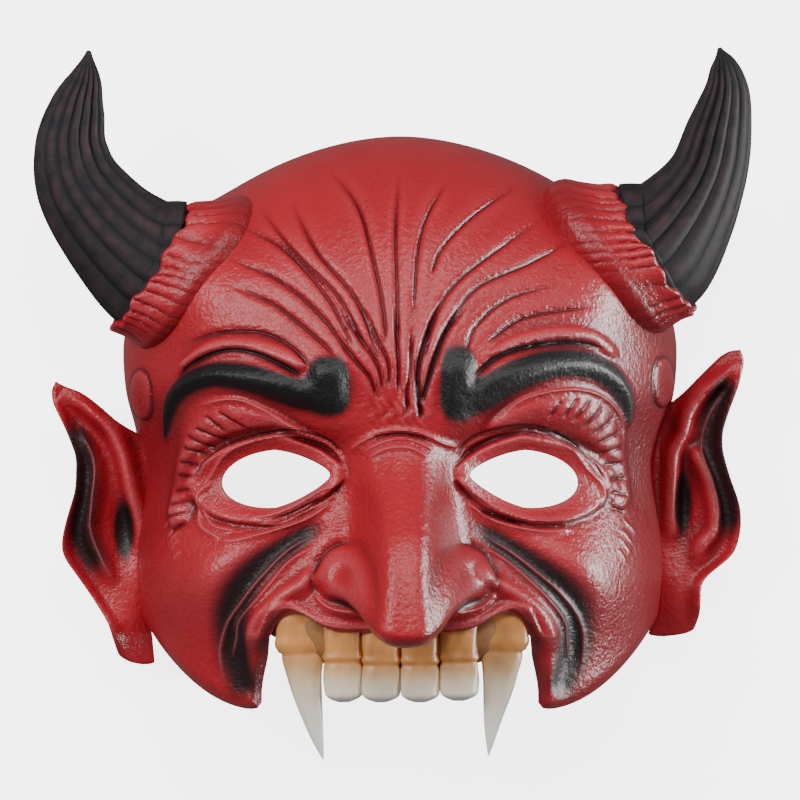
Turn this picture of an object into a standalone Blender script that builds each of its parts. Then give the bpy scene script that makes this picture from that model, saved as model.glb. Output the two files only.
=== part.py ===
"""A red devil half-mask with horns, ears and fangs, moulded in one piece of painted foam.

The mask lies on its back on its flat rim, face up: +X is to the wearer's left, +Y runs to the
horn tips and +Z comes out of the face.  The origin is the middle of its box, on the floor.
The carving is laid out on a plan of the face whose unit is a millimetre at the real size, and
the plan stretches with the width, height and depth of the face.
"""

import bmesh
import bpy
import numpy as np
from mathutils import Matrix, Vector

MM = 0.001

# The face
FACE_WIDTH = 206 * MM
FACE_HEIGHT = 210 * MM
FACE_DEPTH = 86 * MM
WALL = 3.6 * MM
NOSE_REACH = 43 * MM
NOSE_DROOP = 16 * MM
BROW_RELIEF = 5.0 * MM
CARVING_RELIEF = 1.0

# The eye holes
EYE_LENGTH = 39 * MM
EYE_HEIGHT = 20.5 * MM
EYE_SPACING = 88.4 * MM

# The horns and their cuffs
HORN_LENGTH = 89 * MM
HORN_ROOT_RADIUS = 24.5 * MM
HORN_ROOT_HEIGHT = 41 * MM
HORN_RISE = 9 * MM
HORN_FLUTES = 15
HORN_FLUTE_DEPTH = 1.3 * MM
CUFF_WIDTH = 12 * MM
CUFF_LIP = 4 * MM
CUFF_FLARE = 8.5 * MM
CUFF_PLEATS = 24
ROOT_SWELL = 7.0 * MM

# The ears
EAR_HEIGHT = 105 * MM
EAR_WIDTH = 36 * MM
EAR_THICKNESS = 4.5 * MM
EAR_LIFT = 20 * MM

# The gum and the teeth
GUM_RADIUS = 6.0 * MM
TOOTH_LENGTH = 27 * MM
TOOTH_WIDTH = 13.4 * MM
TOOTH_THICKNESS = 9 * MM
FANG_LENGTH = 56 * MM
FANG_WIDTH = 17 * MM

# The plan's own measures: a plan unit is a millimetre at the real size
PLAN_HALF_WIDTH = 103
PLAN_CROWN = 20
PLAN_TOP = 100
PLAN_BOTTOM = -110
PLAN_DEPTH = 86

TRIANGLES_KEPT = 9600

# Each side is carved by hand, so left and right differ a little.
# A brow's middle line with its half width, and its head: middle, half width and half height
BROWS = {
    -1: ([(-24, 7, 7.5), (-34, 4.6, 4.6), (-46, 7.6, 4.2), (-62, 10.2, 3.7), (-77, 5, 3), (-86, -10, 1.2)],
         (-21.3, 8.2, 6.5, 11.5)),
    1: ([(20, 4, 9), (33, 7.6, 6), (44, 13, 5.2), (62, 15, 4.8), (76, 7, 4), (82, -6, 1.2)],
        (19.5, 7.6, 6.8, 14)),
}
# A horn's headings from straight outwards, the share of its length where each ends, its radius there
# as a share of the root's, and its length as a share of the left horn's
HORNS = {
    -1: ((41, 54, 77, 99, 105, 98), (0.23, 0.44, 0.6, 0.76, 0.89, 1), (0.78, 0.66, 0.53, 0.41, 0.25, 0.03), 1.0),
    1: ((48, 60, 75, 79, 94, 105), (0.2, 0.41, 0.62, 0.79, 0.92, 1), (0.79, 0.57, 0.48, 0.34, 0.2, 0.03), 0.9),
}
# An ear's outline: how far down it, and how far out its free edge and its front edge lie there
EARS = {
    -1: ([(0, 0.95), (0.05, 0.99), (0.13, 0.9), (0.28, 0.74), (0.42, 0.78), (0.56, 0.9), (0.67, 0.77),
          (0.85, 0.42), (0.94, 0.36), (0.985, 0.22), (1, 0.02)],
         [(0, 0.94), (0.04, 0.69), (0.1, 0.47), (0.17, 0.17), (0.23, -0.1), (0.4, -0.2), (1, -0.22)]),
    1: ([(0, 0.93), (0.05, 0.95), (0.17, 0.84), (0.31, 0.72), (0.42, 0.79), (0.56, 0.91), (0.69, 0.88),
         (0.76, 0.66), (0.83, 0.52), (0.93, 0.47), (0.985, 0.33), (1, 0.08)],
        [(0, 0.91), (0.04, 0.68), (0.12, 0.42), (0.19, 0.19), (0.25, -0.07), (0.4, -0.17), (1, -0.19)]),
}

RED = (0.36, 0.012, 0.018, 1.0)


def soft(t):
    """Rises from nought to one along an S, and stays flat outside."""
    t = np.clip(t, 0.0, 1.0)
    return t * t * (3.0 - 2.0 * t)


def bump(x, y, cx, cy, rx, ry, turn=0.0):
    """A round swelling: one in its middle, falling away as a bell along its two turned axes."""
    c, s = np.cos(np.radians(turn)), np.sin(np.radians(turn))
    along = (x - cx) * c + (y - cy) * s
    across = (y - cy) * c - (x - cx) * s
    return np.exp(-((along / rx) ** 2) - (across / ry) ** 2)


def smooth_path(points, count=40):
    """A smooth curve through a few points: each stretch is a cubic whose ends keep the chord's turn."""
    p = np.array(points, dtype=float)
    p = np.vstack([2 * p[0] - p[1], p, 2 * p[-1] - p[-2]])
    t = np.linspace(0.0, len(points) - 1.0, count)
    i = np.minimum(t.astype(int), len(points) - 2)
    f = (t - i)[:, None]
    a, b, c, d = p[i], p[i + 1], p[i + 2], p[i + 3]
    return 0.5 * (2 * b + (c - a) * f + (2 * a - 5 * b + 4 * c - d) * f**2 + (3 * b - a - 3 * c + d) * f**3)


def stroke(x, y, points, start=1.0, end=1.0, count=40):
    """Distance from a smooth line, its side (positive on the left), and a strength that fades
    over the given shares of the line at its start and its end."""
    path = smooth_path(points, count)
    shape = x.shape
    x, y = x.ravel(), y.ravel()
    near = np.full(x.shape, 1e9)
    side = np.zeros(x.shape)
    place = np.zeros(x.shape)
    for k in range(count - 1):
        ax, ay = path[k]
        bx, by = path[k + 1]
        run = max((bx - ax) ** 2 + (by - ay) ** 2, 1e-9)
        t = np.clip(((x - ax) * (bx - ax) + (y - ay) * (by - ay)) / run, 0, 1)
        d = np.hypot(x - ax - t * (bx - ax), y - ay - t * (by - ay))
        closer = d < near
        near[closer] = d[closer]
        cross = (bx - ax) * (y - ay) - (by - ay) * (x - ax)
        side[closer] = np.sign(cross[closer])
        place[closer] = (k + t[closer]) / (count - 1)
    strength = soft(place / max(start, 1e-6)) * soft((1 - place) / max(end, 1e-6))
    return near.reshape(shape), side.reshape(shape), strength.reshape(shape), place.reshape(shape)


# The shell's own form

def half_width(y):
    """Half the width of the shell at a height on the plan: an egg above the crown line, nearly
    straight below it."""
    up = np.clip((y - PLAN_CROWN) / (PLAN_TOP - PLAN_CROWN), 0, 1)
    dome = (1 - up**1.8) ** (1 / 1.8)
    waist = 1 - 0.06 * soft((PLAN_CROWN - y) / 45) - 0.03 * soft((-50 - y) / 60)
    return PLAN_HALF_WIDTH * dome * waist


def middle_depth(y):
    """Height of the face's middle line above the rim, without brows and nose."""
    up = np.clip((y - PLAN_CROWN) / (PLAN_TOP - PLAN_CROWN), 0, 1)
    dome = (1 - up**2.1) ** (1 / 2.1)
    fall = 1 - 0.10 * soft((PLAN_CROWN - y) / 90) - 0.06 * soft((-70 - y) / 40)
    return PLAN_DEPTH * dome * fall


def eye_measure(x, y):
    """Distance outside the rim of an eye hole, roughly, in plan units: the hole is an almond,
    pinched at the nose and sloping down outwards."""
    half, tall = EYE_LENGTH / MM / 2, EYE_HEIGHT / MM / 2
    across = (np.abs(x) - EYE_SPACING / MM / 2) / half
    pinch = np.clip((1.25 + across) / 1.25, 0.05, 1) ** 0.45
    up = (y + 26.2 + 1.6 * across) / (tall * pinch)
    return (np.sqrt(across**2 + up**2) - 1) * tall


def chin_edge(x):
    """Height of the cheeks' lower edge on the plan: round under the cheek, rising to the ears."""
    ax = np.abs(x)
    return -109 + 22 * (np.clip(ax - 52, 0, None) / 36) ** 2 + 3 * bump(ax, 0, 44, 0, 5, 5)


def lip_edge(x):
    """Height of the upper lip on the plan: low under the nose, high over the fangs, low at the
    corners of the mouth."""
    ax = np.abs(x)
    return -80 + 7 * bump(ax, 0, 37, 0, 9, 9) - 6 * soft((ax - 42) / 6)


def cheek_end(y):
    """Half the width of the mouth at a height on the plan."""
    return 46.5 + 3.0 * soft((-84 - y) / 20)


def broad_form(x, y):
    """The swellings and hollows that both skins of the wall follow, in plan units."""
    ax = np.abs(x)
    h = 9 * bump(ax, y, 66, -60, 24, 24)
    h = h - 10 * bump(ax, y, 45, -25, 25, 15, -5)
    h = h - 4 * bump(ax, y, 26, -14, 10, 10)
    h = h + 4.5 * bump(ax, y, 50, 10, 40, 11, -8)
    h = h + 5 * bump(ax, y, 24, -74, 24, 13)
    h = h + 4 * bump(ax, y, 48, -96, 9, 14)
    h = h + 3 * bump(x, y, 0, 6, 15, 24)
    h = h - 3 * bump(ax, y, 88, -22, 9, 22)
    h = h + ROOT_SWELL / MM * bump(ax, y, 77, 50, 17, 26, -28)
    return h


def nose_form(x, y, slim=0.0):
    """The nose: how far it stands out and how far it droops, in plan units.  Its ridge climbs from
    the root to the tip and falls steeply to the lip.  slim draws it in, for the inner skin."""
    reach = NOSE_REACH / MM
    climb = soft((-8 - y) / 58) ** 0.85
    under = soft((y + 77.5 - slim) / 13)
    width = 15.0 - 1.6 * bump(0, y, 0, -38, 20, 14) - slim
    stand = (reach - slim) * climb * under * np.exp(-np.abs(x / width) ** 3.2)
    hang = NOSE_DROOP / MM * (1 if slim == 0 else 0.5)
    return stand, hang * soft((-44 - y) / 28) * (stand / reach) ** 0.8


def fine_form(x, y):
    """The carving that only the outer skin carries, in plan units."""
    ax = np.abs(x)
    h = np.zeros_like(x)
    # brows: a band that arches to the temple from a square head beside the frown
    for line, (cx, cy, rx, ry) in BROWS.values():
        near, side, strength, place = stroke(x, y, [p[:2] for p in line], 0.02, 0.25)
        width = np.interp(place, np.linspace(0, 1, len(line)), [p[2] for p in line])
        band = np.exp(-((near / width / 1.15) ** 4))
        block = np.exp(-(((x - cx) / rx) ** 4) - ((y - cy) / ry) ** 4)
        h = h + BROW_RELIEF / MM * np.maximum(band * strength, block)
    h = h + 3.2 * bump(ax, y, 22, -6.5, 9, 6.5)
    # folds of skin above each brow
    for points, tall, wide in (
        ([(34, 11), (42, 17), (56, 18), (72, 13), (80, 6)], 3.6, 3.4),
        ([(30, 16), (40, 23), (54, 26), (68, 25), (78, 20)], 2.6, 3.6),
    ):
        near, side, strength, place = stroke(ax, y, points, 0.15, 0.3)
        h = h + tall * strength * np.exp(-((near / wide) ** 2))
    # upright frown lines between the brows
    for centre, lean in ((-9, -0.05), (-3.2, 0.0), (3.2, 0.02), (9, 0.08)):
        reach = soft((y + 8) / 8) * soft((44 - y) / 20)
        h = h - 1.5 * reach * np.exp(-(((x - centre - lean * y) / 1.5) ** 2))
    # forehead furrows, a fan that springs from between the brows
    for turn in (-64, -46, -30, -14, 6, 24, 42, 60):
        a = np.radians(turn)
        foot = (9 * np.sin(a), 20 + 4 * np.cos(a))
        knee = (34 * np.sin(a * 0.75), 26 + 30 * np.cos(a * 0.9))
        tip = (74 * np.sin(a), 22 + 66 * np.cos(a))
        near, side, strength, place = stroke(x, y, [foot, knee, tip], 0.2, 0.4, 24)
        h = h - 1.5 * strength * np.exp(-((near / 1.7) ** 2))
    # lids
    d = eye_measure(x, y)
    h = h + 4.2 * np.exp(-(((d - 3.2) / 2.9) ** 2))
    h = h - 1.6 * np.exp(-(((d - 8.2) / 1.5) ** 2)) * soft((ax - 26) / 8)
    # pleats that run round the outer side of each eye
    for radius in (29, 34, 39, 44):
        ring = np.hypot((ax - 44) * 0.92, (y + 28) * 1.15)
        arc = soft((ax - 58) / 10) * soft((y + 46) / 12) * soft((4 - y) / 10)
        h = h + 1.5 * arc * np.exp(-(((ring - radius) / 1.7) ** 2))
    # folds across the root of the nose
    for high, tall in ((-11.5, 2.4), (-17, 1.8)):
        h = h + tall * np.exp(-(((y - high + 0.02 * x * x) / 2.0) ** 2)) * np.exp(-((ax / 17) ** 4))
    # folds from the nose wings to the cheeks, with a trough between
    near, side, strength, place = stroke(ax, y, [(27, -44), (40, -53), (52, -62), (61, -76), (64, -92)], 0.1, 0.3)
    h = h + 4.2 * strength * np.exp(-((near / 4.0) ** 2))
    near, side, strength, place = stroke(ax, y, [(26, -52), (38, -61), (47, -70), (52, -84), (53, -98)], 0.1, 0.2)
    h = h - 3.0 * strength * np.exp(-((near / 3.6) ** 2))
    near, side, strength, place = stroke(ax, y, [(30, -66), (40, -72), (46, -80), (49, -92)], 0.1, 0.2)
    h = h + 2.2 * strength * np.exp(-((near / 3.0) ** 2))
    # nose wings
    wing = np.sqrt(np.clip(1 - ((ax - 20) / 9.8) ** 2 - ((y + 59.5) / 10.8) ** 2, 0, 1))
    h = h + 8.5 * wing
    h = h - 2.0 * bump(ax, y, 18, -71.5, 5, 2.2, 15)
    # raised oval on each temple
    oval = np.sqrt(((ax - 96) / 5.5) ** 2 + ((y - 5) / 9.5) ** 2)
    h = h + 2.6 * soft((1.25 - oval) / 0.5)
    # rolled edge of the lip
    d = y - lip_edge(x)
    h = h + 1.6 * np.exp(-(((d - 2.2) / 1.8) ** 2)) * soft((50 - ax) / 5)
    return h * CARVING_RELIEF


def edge_roll(x, y, radius=7.0):
    """How far the cheeks have rolled inwards near their free edges, in plan units: a quarter
    circle that starts one radius inside the edge, and a straight slope past it."""

    def rolled(d):
        turn = np.clip(radius - d, 0, 1.6 * radius)
        arc = np.minimum(turn, 0.88 * radius)
        return radius - np.sqrt(radius**2 - arc**2) + 1.85 * (turn - arc)

    inner = rolled(np.abs(x) - cheek_end(y)) * soft((-82 - y) / 7)
    return np.maximum(rolled(y - chin_edge(x)), inner)


def shell_points(turn, y, inner):
    """Points of one skin of the shell, in plan units: each level is a half ellipse about the face's
    long axis, and the carving stands out along the ellipsoid's normal.  The nose comes later, and so
    does the roll of the free edges, which is returned beside the points."""
    w = np.maximum(half_width(y), 1e-3)
    d = np.maximum(middle_depth(y), 1e-3)
    s, c = np.sin(turn), np.cos(turn)
    power = 2.15
    r = (np.abs(s / w) ** power + np.abs(c / d) ** power) ** (-1 / power)
    x = r * s
    z = r * c
    nx = x / PLAN_HALF_WIDTH**2
    ny = np.clip(y - PLAN_CROWN, 0, None) / (PLAN_TOP - PLAN_CROWN) ** 2
    nz = z / PLAN_DEPTH**2
    size = np.sqrt(nx**2 + ny**2 + nz**2)
    nx, ny, nz = nx / size, ny / size, nz / size
    # at the rim the skin is plain, so that the rim lies flat
    fade = soft(z / 14)
    h = broad_form(x, y) * fade
    if not inner:
        h = h + fine_form(x, y) * fade
    roll = np.minimum(edge_roll(x, y), 0.5 * z) * soft((z - 6) / 26)
    return x + nx * h, y + ny * h, z + nz * h, roll


def to_metres(x, y, z):
    """Plan units into metres: the plan stretches with the face's width, height and depth."""
    return np.stack(
        [
            x * FACE_WIDTH / (2 * PLAN_HALF_WIDTH),
            y * FACE_HEIGHT / (PLAN_TOP - PLAN_BOTTOM),
            z * FACE_DEPTH / PLAN_DEPTH,
        ],
        axis=-1,
    )


def grid_triangles(index):
    """Two triangles for each cell of a grid of vertex numbers, without the ones that a pole folds."""
    a, b = index[:-1, :-1].ravel(), index[:-1, 1:].ravel()
    c, d = index[1:, 1:].ravel(), index[1:, :-1].ravel()
    faces = np.concatenate([np.stack([a, b, c], 1), np.stack([a, c, d], 1)])
    keep = (faces[:, 0] != faces[:, 1]) & (faces[:, 1] != faces[:, 2]) & (faces[:, 0] != faces[:, 2])
    return faces[keep]


def add_object(name, points, faces, material=None):
    """A mesh object from arrays of points and triangles."""
    mesh = bpy.data.meshes.new(name)
    mesh.from_pydata(points.tolist(), [], faces.tolist())
    mesh.update()
    thing = bpy.data.objects.new(name, mesh)
    bpy.context.collection.objects.link(thing)
    if material is not None:
        mesh.materials.append(material)
    return thing


def hide(thing):
    """A guide: cuts or joins, and is not a piece of its own."""
    thing.hide_render = True
    thing.display_type = "WIRE"
    return thing


def skin_grid(turn_count, inner):
    """One skin of the shell as rows of points in metres, from the chin up to the crown, each row
    from one side of the rim over the face to the other."""
    low = np.linspace(PLAN_BOTTOM - 3, PLAN_CROWN, 92)
    high = np.linspace(0, np.pi / 2, 50)[1:]
    level = np.concatenate([low, PLAN_CROWN + (PLAN_TOP - PLAN_CROWN) * np.sin(high)])
    y, turn = np.meshgrid(level, np.linspace(-np.pi / 2, np.pi / 2, turn_count), indexing="ij")
    x, y_carved, z, roll = shell_points(turn, y, inner)
    if not inner:
        stand, droop = nose_form(x, y)
        skin = to_metres(x, y_carved - droop, z + stand - roll)
    else:
        smooth = to_metres(x, y_carved, z)
        across = np.gradient(smooth, axis=1)
        along = np.gradient(smooth, axis=0)
        normal = np.cross(along, across)
        normal /= np.maximum(np.linalg.norm(normal, axis=-1, keepdims=True), 1e-15)
        # under a rolled edge the wall is measured straight down
        normal[..., 2] -= 3 * soft(roll / 3) * soft((z - 18) / 20)
        # the rim is flat: there the wall is measured level with the floor
        normal[:, (0, -1), 2] = 0
        normal /= np.maximum(np.linalg.norm(normal, axis=-1, keepdims=True), 1e-15)
        stand, droop = nose_form(x, y, slim=WALL / MM)
        skin = smooth + normal * WALL + to_metres(0 * x, -droop, stand - roll)
        # the inner skin closes one wall below the crown
        skin[-1] = (0, smooth[-1, 0, 1] - WALL, 0)
    skin[:, (0, -1), 2] = 0
    return skin


def make_skin_solid(name, skin, below, material=None):
    """A skin closed into a solid: each row runs on across the floor, or a step below it, and the
    lowest row is filled by a fan."""
    rows, skin_count = skin.shape[:2]
    if below:
        foot = skin[:, (-1, 0)].copy()
        foot[..., 2] = -below
        skin = np.concatenate([skin, foot], axis=1)
    columns = skin.shape[1]
    index = np.arange(rows * columns).reshape(rows, columns)
    index[-1, :skin_count] = index[-1, 0]
    index[-1, skin_count:] = index[-1, -1]
    index = np.concatenate([index, index[:, :1]], axis=1)
    hub = rows * columns
    middle = skin[0].mean(axis=0)
    middle[2] = skin[0, :, 2].max() * 0.3
    fan = np.stack([index[0, 1:], index[0, :-1], np.full(columns, hub)], 1)
    points = np.concatenate([skin.reshape(-1, 3), middle[None, :]])
    faces = np.concatenate([grid_triangles(index), fan])
    solid = add_object(name, points, faces, material)
    face_outwards(solid)
    return solid


def face_outwards(thing):
    """Drops the points that no face uses, and turns a closed mesh right side out if its volume
    comes out negative."""
    shape = bmesh.new()
    shape.from_mesh(thing.data)
    loose = [v for v in shape.verts if not v.link_faces]
    bmesh.ops.delete(shape, geom=loose, context="VERTS")
    bmesh.ops.recalc_face_normals(shape, faces=shape.faces)
    if shape.calc_volume(signed=True) < 0:
        bmesh.ops.reverse_faces(shape, faces=shape.faces)
    shape.to_mesh(thing.data)
    shape.free()


def make_prism(name, outline, low, high):
    """A closed upright prism over an outline in the plan, used as a cutter."""
    mesh = bpy.data.meshes.new(name)
    shape = bmesh.new()
    base = [shape.verts.new((x, y, low)) for x, y in outline]
    floor = shape.faces.new(base)
    grown = bmesh.ops.extrude_face_region(shape, geom=[floor])
    moved = [v for v in grown["geom"] if isinstance(v, bmesh.types.BMVert)]
    bmesh.ops.translate(shape, verts=moved, vec=(0, 0, high - low))
    bmesh.ops.recalc_face_normals(shape, faces=shape.faces)
    shape.to_mesh(mesh)
    shape.free()
    thing = bpy.data.objects.new(name, mesh)
    bpy.context.collection.objects.link(thing)
    return hide(thing)


def plan_outline(points):
    """Plan points into metres."""
    p = np.array(points, dtype=float)
    return to_metres(p[:, 0], p[:, 1], np.zeros(len(p)))[:, :2].tolist()


def eye_outline(sign):
    """The almond of one eye hole, where the measure of the eye is nought."""
    outline = []
    for turn in np.linspace(0, 2 * np.pi, 40, endpoint=False):
        reach = np.linspace(2, 30, 400)
        cx, cy = EYE_SPACING / MM / 2, -26.2
        x, y = cx + reach * np.cos(turn), cy + reach * np.sin(turn)
        first = np.argmax(eye_measure(x, y) > 0)
        outline.append((sign * x[first], y[first]))
    return plan_outline(outline)


def mouth_outline():
    """All that lies below the face: under the lip, between the cheeks and under the chin edge."""
    side = []
    for x in np.linspace(125, 53, 14):
        side.append((x, chin_edge(x)))
    side.append((51, -108.4))
    for y in (-106.5, -102, -96, -90):
        side.append((cheek_end(y), y))
    for x in np.linspace(46.2, 3, 13):
        side.append((x, lip_edge(x)))
    whole = side + [(-x, y) for x, y in reversed(side)]
    return plan_outline(whole + [(-125, -150), (125, -150)])


def shell_height(x, y):
    """Height of the plain shell above the rim at a place of the plan, in plan units."""
    w, d = half_width(y), middle_depth(y)
    power = 2.15
    flat = np.clip(1 - np.abs(x / w) ** power, 0, 1) ** (1 / power) * d
    return flat + broad_form(x, y)


def make_tube(name, centre, ring_x, ring_y, material=None):
    """A closed tube: a ring of points round each centre, with both ends filled by a fan.
    ring_x and ring_y hold each ring point's offset vectors, rings by points by three."""
    rings = centre[:, None, :] + ring_x + ring_y
    rows, columns = rings.shape[:2]
    points = np.concatenate([rings.reshape(-1, 3), centre[:1], centre[-1:]])
    index = np.arange(rows * columns).reshape(rows, columns)
    index = np.concatenate([index, index[:, :1]], axis=1)
    faces = grid_triangles(index)
    first, last = rows * columns, rows * columns + 1
    start = np.stack([index[0, 1:], index[0, :-1], np.full(columns, first)], 1)
    end = np.stack([index[-1, :-1], index[-1, 1:], np.full(columns, last)], 1)
    thing = add_object(name, points, np.concatenate([faces, start, end]), material)
    face_outwards(thing)
    return hide(thing)


def frame_along(path, up):
    """Two directions across a path at each of its points, the first nearest to up."""
    tangent = np.gradient(path, axis=0)
    tangent /= np.linalg.norm(tangent, axis=1, keepdims=True)
    across = np.cross(tangent, up)
    across /= np.linalg.norm(across, axis=1, keepdims=True)
    return tangent, np.cross(across, tangent), across


def horn_path(sign, root):
    """The middle line of a horn and its radius along it: it leaves the temple outwards and curls up
    towards its tip, through a few headings.  The first point is buried in the cuff."""
    headings, shares, radii, length = HORNS[sign]
    run = np.diff((0,) + shares) * HORN_LENGTH * length
    angle = np.radians(headings)
    stops = np.cumsum(np.stack([np.cos(angle) * run, np.sin(angle) * run], 1), axis=0)
    back = -stops[0] * 1.5 * CUFF_WIDTH / run[0]
    flat = smooth_path(np.vstack([back, (0, 0), stops]), 40)
    gone = np.concatenate([[0], np.cumsum(np.linalg.norm(np.diff(flat, axis=0), axis=1))]) - 1.5 * CUFF_WIDTH
    share = np.clip(gone / gone[-1], 0, 1)
    radius = np.interp(share, (0,) + shares, (1,) + radii) * HORN_ROOT_RADIUS
    rise = HORN_RISE * np.sin(share * np.pi / 2)
    return root + np.stack([sign * flat[:, 0], flat[:, 1], rise], axis=1), radius


def make_horn(sign, root):
    """A horn and the pleated cuff of skin that it stands in."""
    line, taper = horn_path(sign, root)
    tangent, up, across = frame_along(line, (0, 0, 1.0))
    angle = np.linspace(0, 2 * np.pi, 4 * HORN_FLUTES, endpoint=False)
    flute = np.abs(np.sin(angle * HORN_FLUTES / 2))[None, :] ** 0.6 - 0.5
    slender = np.minimum(1, 3 * taper / HORN_ROOT_RADIUS)
    radius = taper[:, None] + flute * (HORN_FLUTE_DEPTH * slender)[:, None]
    ring_up = up[:, None, :] * (radius * np.cos(angle))[..., None] * 0.92
    ring_across = across[:, None, :] * (radius * np.sin(angle))[..., None]
    horn = make_tube("horn_%s" % ("right" if sign > 0 else "left"), line, ring_up, ring_across)
    # the cuff flares from its lip on the horn to the brow
    place = np.array([0.4, -0.1, 0.0, 0.3, 0.6, 0.9, 1.15, 1.6, 2.1])
    flare = np.array([-1.2, 0.6, 1.0, 1.0, 1.0, 1.0, 1.0, 0.9, 0.4])
    widen = np.clip(place, 0, 1.15) / 1.15
    axis = np.array([sign * 0.83, 0.53, 0.16])
    axis /= np.linalg.norm(axis)
    centre = root - np.array([sign * 0.98, 0.14, 0.16]) * CUFF_WIDTH * place[:, None]
    tangent = np.repeat(axis[None, :], len(place), axis=0)
    across = np.cross(tangent, (0, 0, 1.0))
    across /= np.linalg.norm(across, axis=1, keepdims=True)
    up = np.cross(across, tangent)
    angle = np.linspace(0, 2 * np.pi, CUFF_PLEATS * 3, endpoint=False)
    swell = CUFF_LIP * flare + (CUFF_FLARE - CUFF_LIP) * widen * np.clip(flare, 0, 1)
    pleat = np.cos(angle * CUFF_PLEATS)[None, :] * 0.7 * MM * np.clip(flare, 0, 1)[:, None]
    radius = (HORN_ROOT_RADIUS + swell)[:, None] + pleat
    ring_up = up[:, None, :] * (radius * np.cos(angle))[..., None] * 0.9
    ring_across = across[:, None, :] * (radius * np.sin(angle))[..., None]
    cuff = make_tube("cuff_%s" % ("right" if sign > 0 else "left"), centre, ring_up, ring_across)
    return horn, cuff


def make_ear(sign, top):
    """A pointed ear: a leaf of even thickness whose face is carved into an outer rim, a dark
    hollow, an inner ridge and the cup beside the face.  top is the height of its tip on the plan."""
    rows, columns = 44, 26
    # v runs from the tip down to the lobe, u from the face out to the free edge
    v, u = np.meshgrid(0.5 - 0.5 * np.cos(np.pi * np.linspace(0, 1, rows)), np.linspace(0, 1, columns),
                       indexing="ij")
    outer, inner = (smooth_path(edge, 60) for edge in EARS[sign])
    outer_edge = np.interp(v, outer[:, 0], outer[:, 1])
    inner_edge = np.interp(v, inner[:, 0], inner[:, 1])
    across = inner_edge + (outer_edge - inner_edge) * u
    rim = np.exp(-(((outer_edge - across) / 0.09) ** 2)) * 5 * MM * soft((1 - v) / 0.13)
    front = np.exp(-((across - 0.25 - 0.4 * soft((0.3 - v) / 0.3)) / 0.09) ** 2) * 6 * MM * soft((0.62 - v) / 0.15)
    ridge = np.exp(-((across - 0.58 + 0.2 * soft((v - 0.55) / 0.2)) / 0.08) ** 2) * 4 * MM
    ridge = ridge * soft((v - 0.12) / 0.12) * soft((0.75 - v) / 0.15)
    lobe = 5 * MM * np.exp(-(((v - 0.88) / 0.15) ** 2) - ((across - 0.3) / 0.25) ** 2)
    base = EAR_LIFT * (0.75 + 0.4 * across * soft((0.75 - v) / 0.45) - 0.2 * soft((v - 0.65) / 0.3))
    edge = np.minimum(np.minimum(u, 1 - u) * 6, np.minimum(v, 1 - v) * 10)
    thick = EAR_THICKNESS * (0.35 + 0.65 * np.sqrt(np.clip(edge, 0, 1)))
    x, y = across * EAR_WIDTH, -v * EAR_HEIGHT
    front_skin = np.stack([x, y, base + rim + front + ridge + lobe + thick / 2], axis=-1)
    back_skin = np.stack([x, y, base - thick / 2], axis=-1)
    # the free edge is closed by the last column, the tip and the lobe by a strip each
    points = np.concatenate([front_skin, back_skin[:, ::-1]], axis=1)
    index = np.arange(rows * columns * 2).reshape(rows, columns * 2)
    index = np.concatenate([index, index[:, :1]], axis=1)
    caps = [np.stack([index[row, :columns], index[row, columns : 2 * columns][::-1]]) for row in (0, rows - 1)]
    faces = np.concatenate([grid_triangles(index)] + [grid_triangles(cap) for cap in caps])
    points = points.reshape(-1, 3) * (sign, 1, 1)
    points = points + to_metres(np.array(sign * 92.0), np.array(float(top)), np.array(0.0))
    thing = add_object("ear_%s" % ("right" if sign > 0 else "left"), points, faces)
    face_outwards(thing)
    return hide(thing)


def make_gum():
    """The gum: a round bar that follows the shell behind the lip."""
    x = np.linspace(-46, 46, 30)
    y = lip_edge(x) - 2.5
    z = shell_height(x, y) - 5.0
    path = to_metres(x, y, z)
    tangent, up, across = frame_along(path, (0, 0, 1.0))
    angle = np.linspace(0, 2 * np.pi, 14, endpoint=False)
    ring_up = up[:, None, :] * (GUM_RADIUS * np.cos(angle))[None, :, None]
    ring_across = across[:, None, :] * (GUM_RADIUS * 1.15 * np.sin(angle))[None, :, None]
    return make_tube("gum", path, ring_up, ring_across)


def make_tooth(name, x, width, length, lean, point):
    """A tooth that hangs from the gum: a bulging root, a neck and a crown, or a fang whose crown
    curves on to a point.  point is nought for a blunt tooth and one for a fang."""
    share = np.linspace(0, 1, 18)
    root = to_metres(np.array(x), lip_edge(np.array(x)) + 2.0, shell_height(np.array(x), -86.0) - 4.0)
    sweep = np.stack([lean * share**2, -share, -0.05 * point * share**2], axis=1)
    path = root + sweep * length
    neck = 0.31 if point else 0.53
    root_form = 1 - 0.25 * np.exp(-(((share - neck) / 0.07) ** 2)) - 0.12 * soft((0.2 - share) / 0.2)
    blunt = root_form * (1 - 0.45 * soft((share - 0.84) / 0.2))
    crown = np.clip((share - neck) / (1 - neck), 0, 1)
    sharp = root_form * np.where(share < neck, 1.0, 0.86 * (1 - crown) ** 0.85 + 0.03)
    profile = sharp if point else blunt
    tangent, up, across = frame_along(path, (0, 0, 1.0))
    angle = np.linspace(0, 2 * np.pi, 16, endpoint=False)
    c, s = np.cos(angle), np.sin(angle)
    square = (np.abs(c) ** 3 + np.abs(s) ** 3) ** (-1 / 3)
    ring_up = up[:, None, :] * (profile[:, None] * c * square * TOOTH_THICKNESS / 2)[..., None]
    ring_across = across[:, None, :] * (profile[:, None] * s * square * width / 2)[..., None]
    return make_tube(name, path, ring_up, ring_across)


def join(target, other, how):
    """Adds a Boolean step to the mask."""
    step = target.modifiers.new("%s_%s" % (how.lower(), other.name), "BOOLEAN")
    step.operation = how
    step.solver = "EXACT"
    step.object = other


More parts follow.
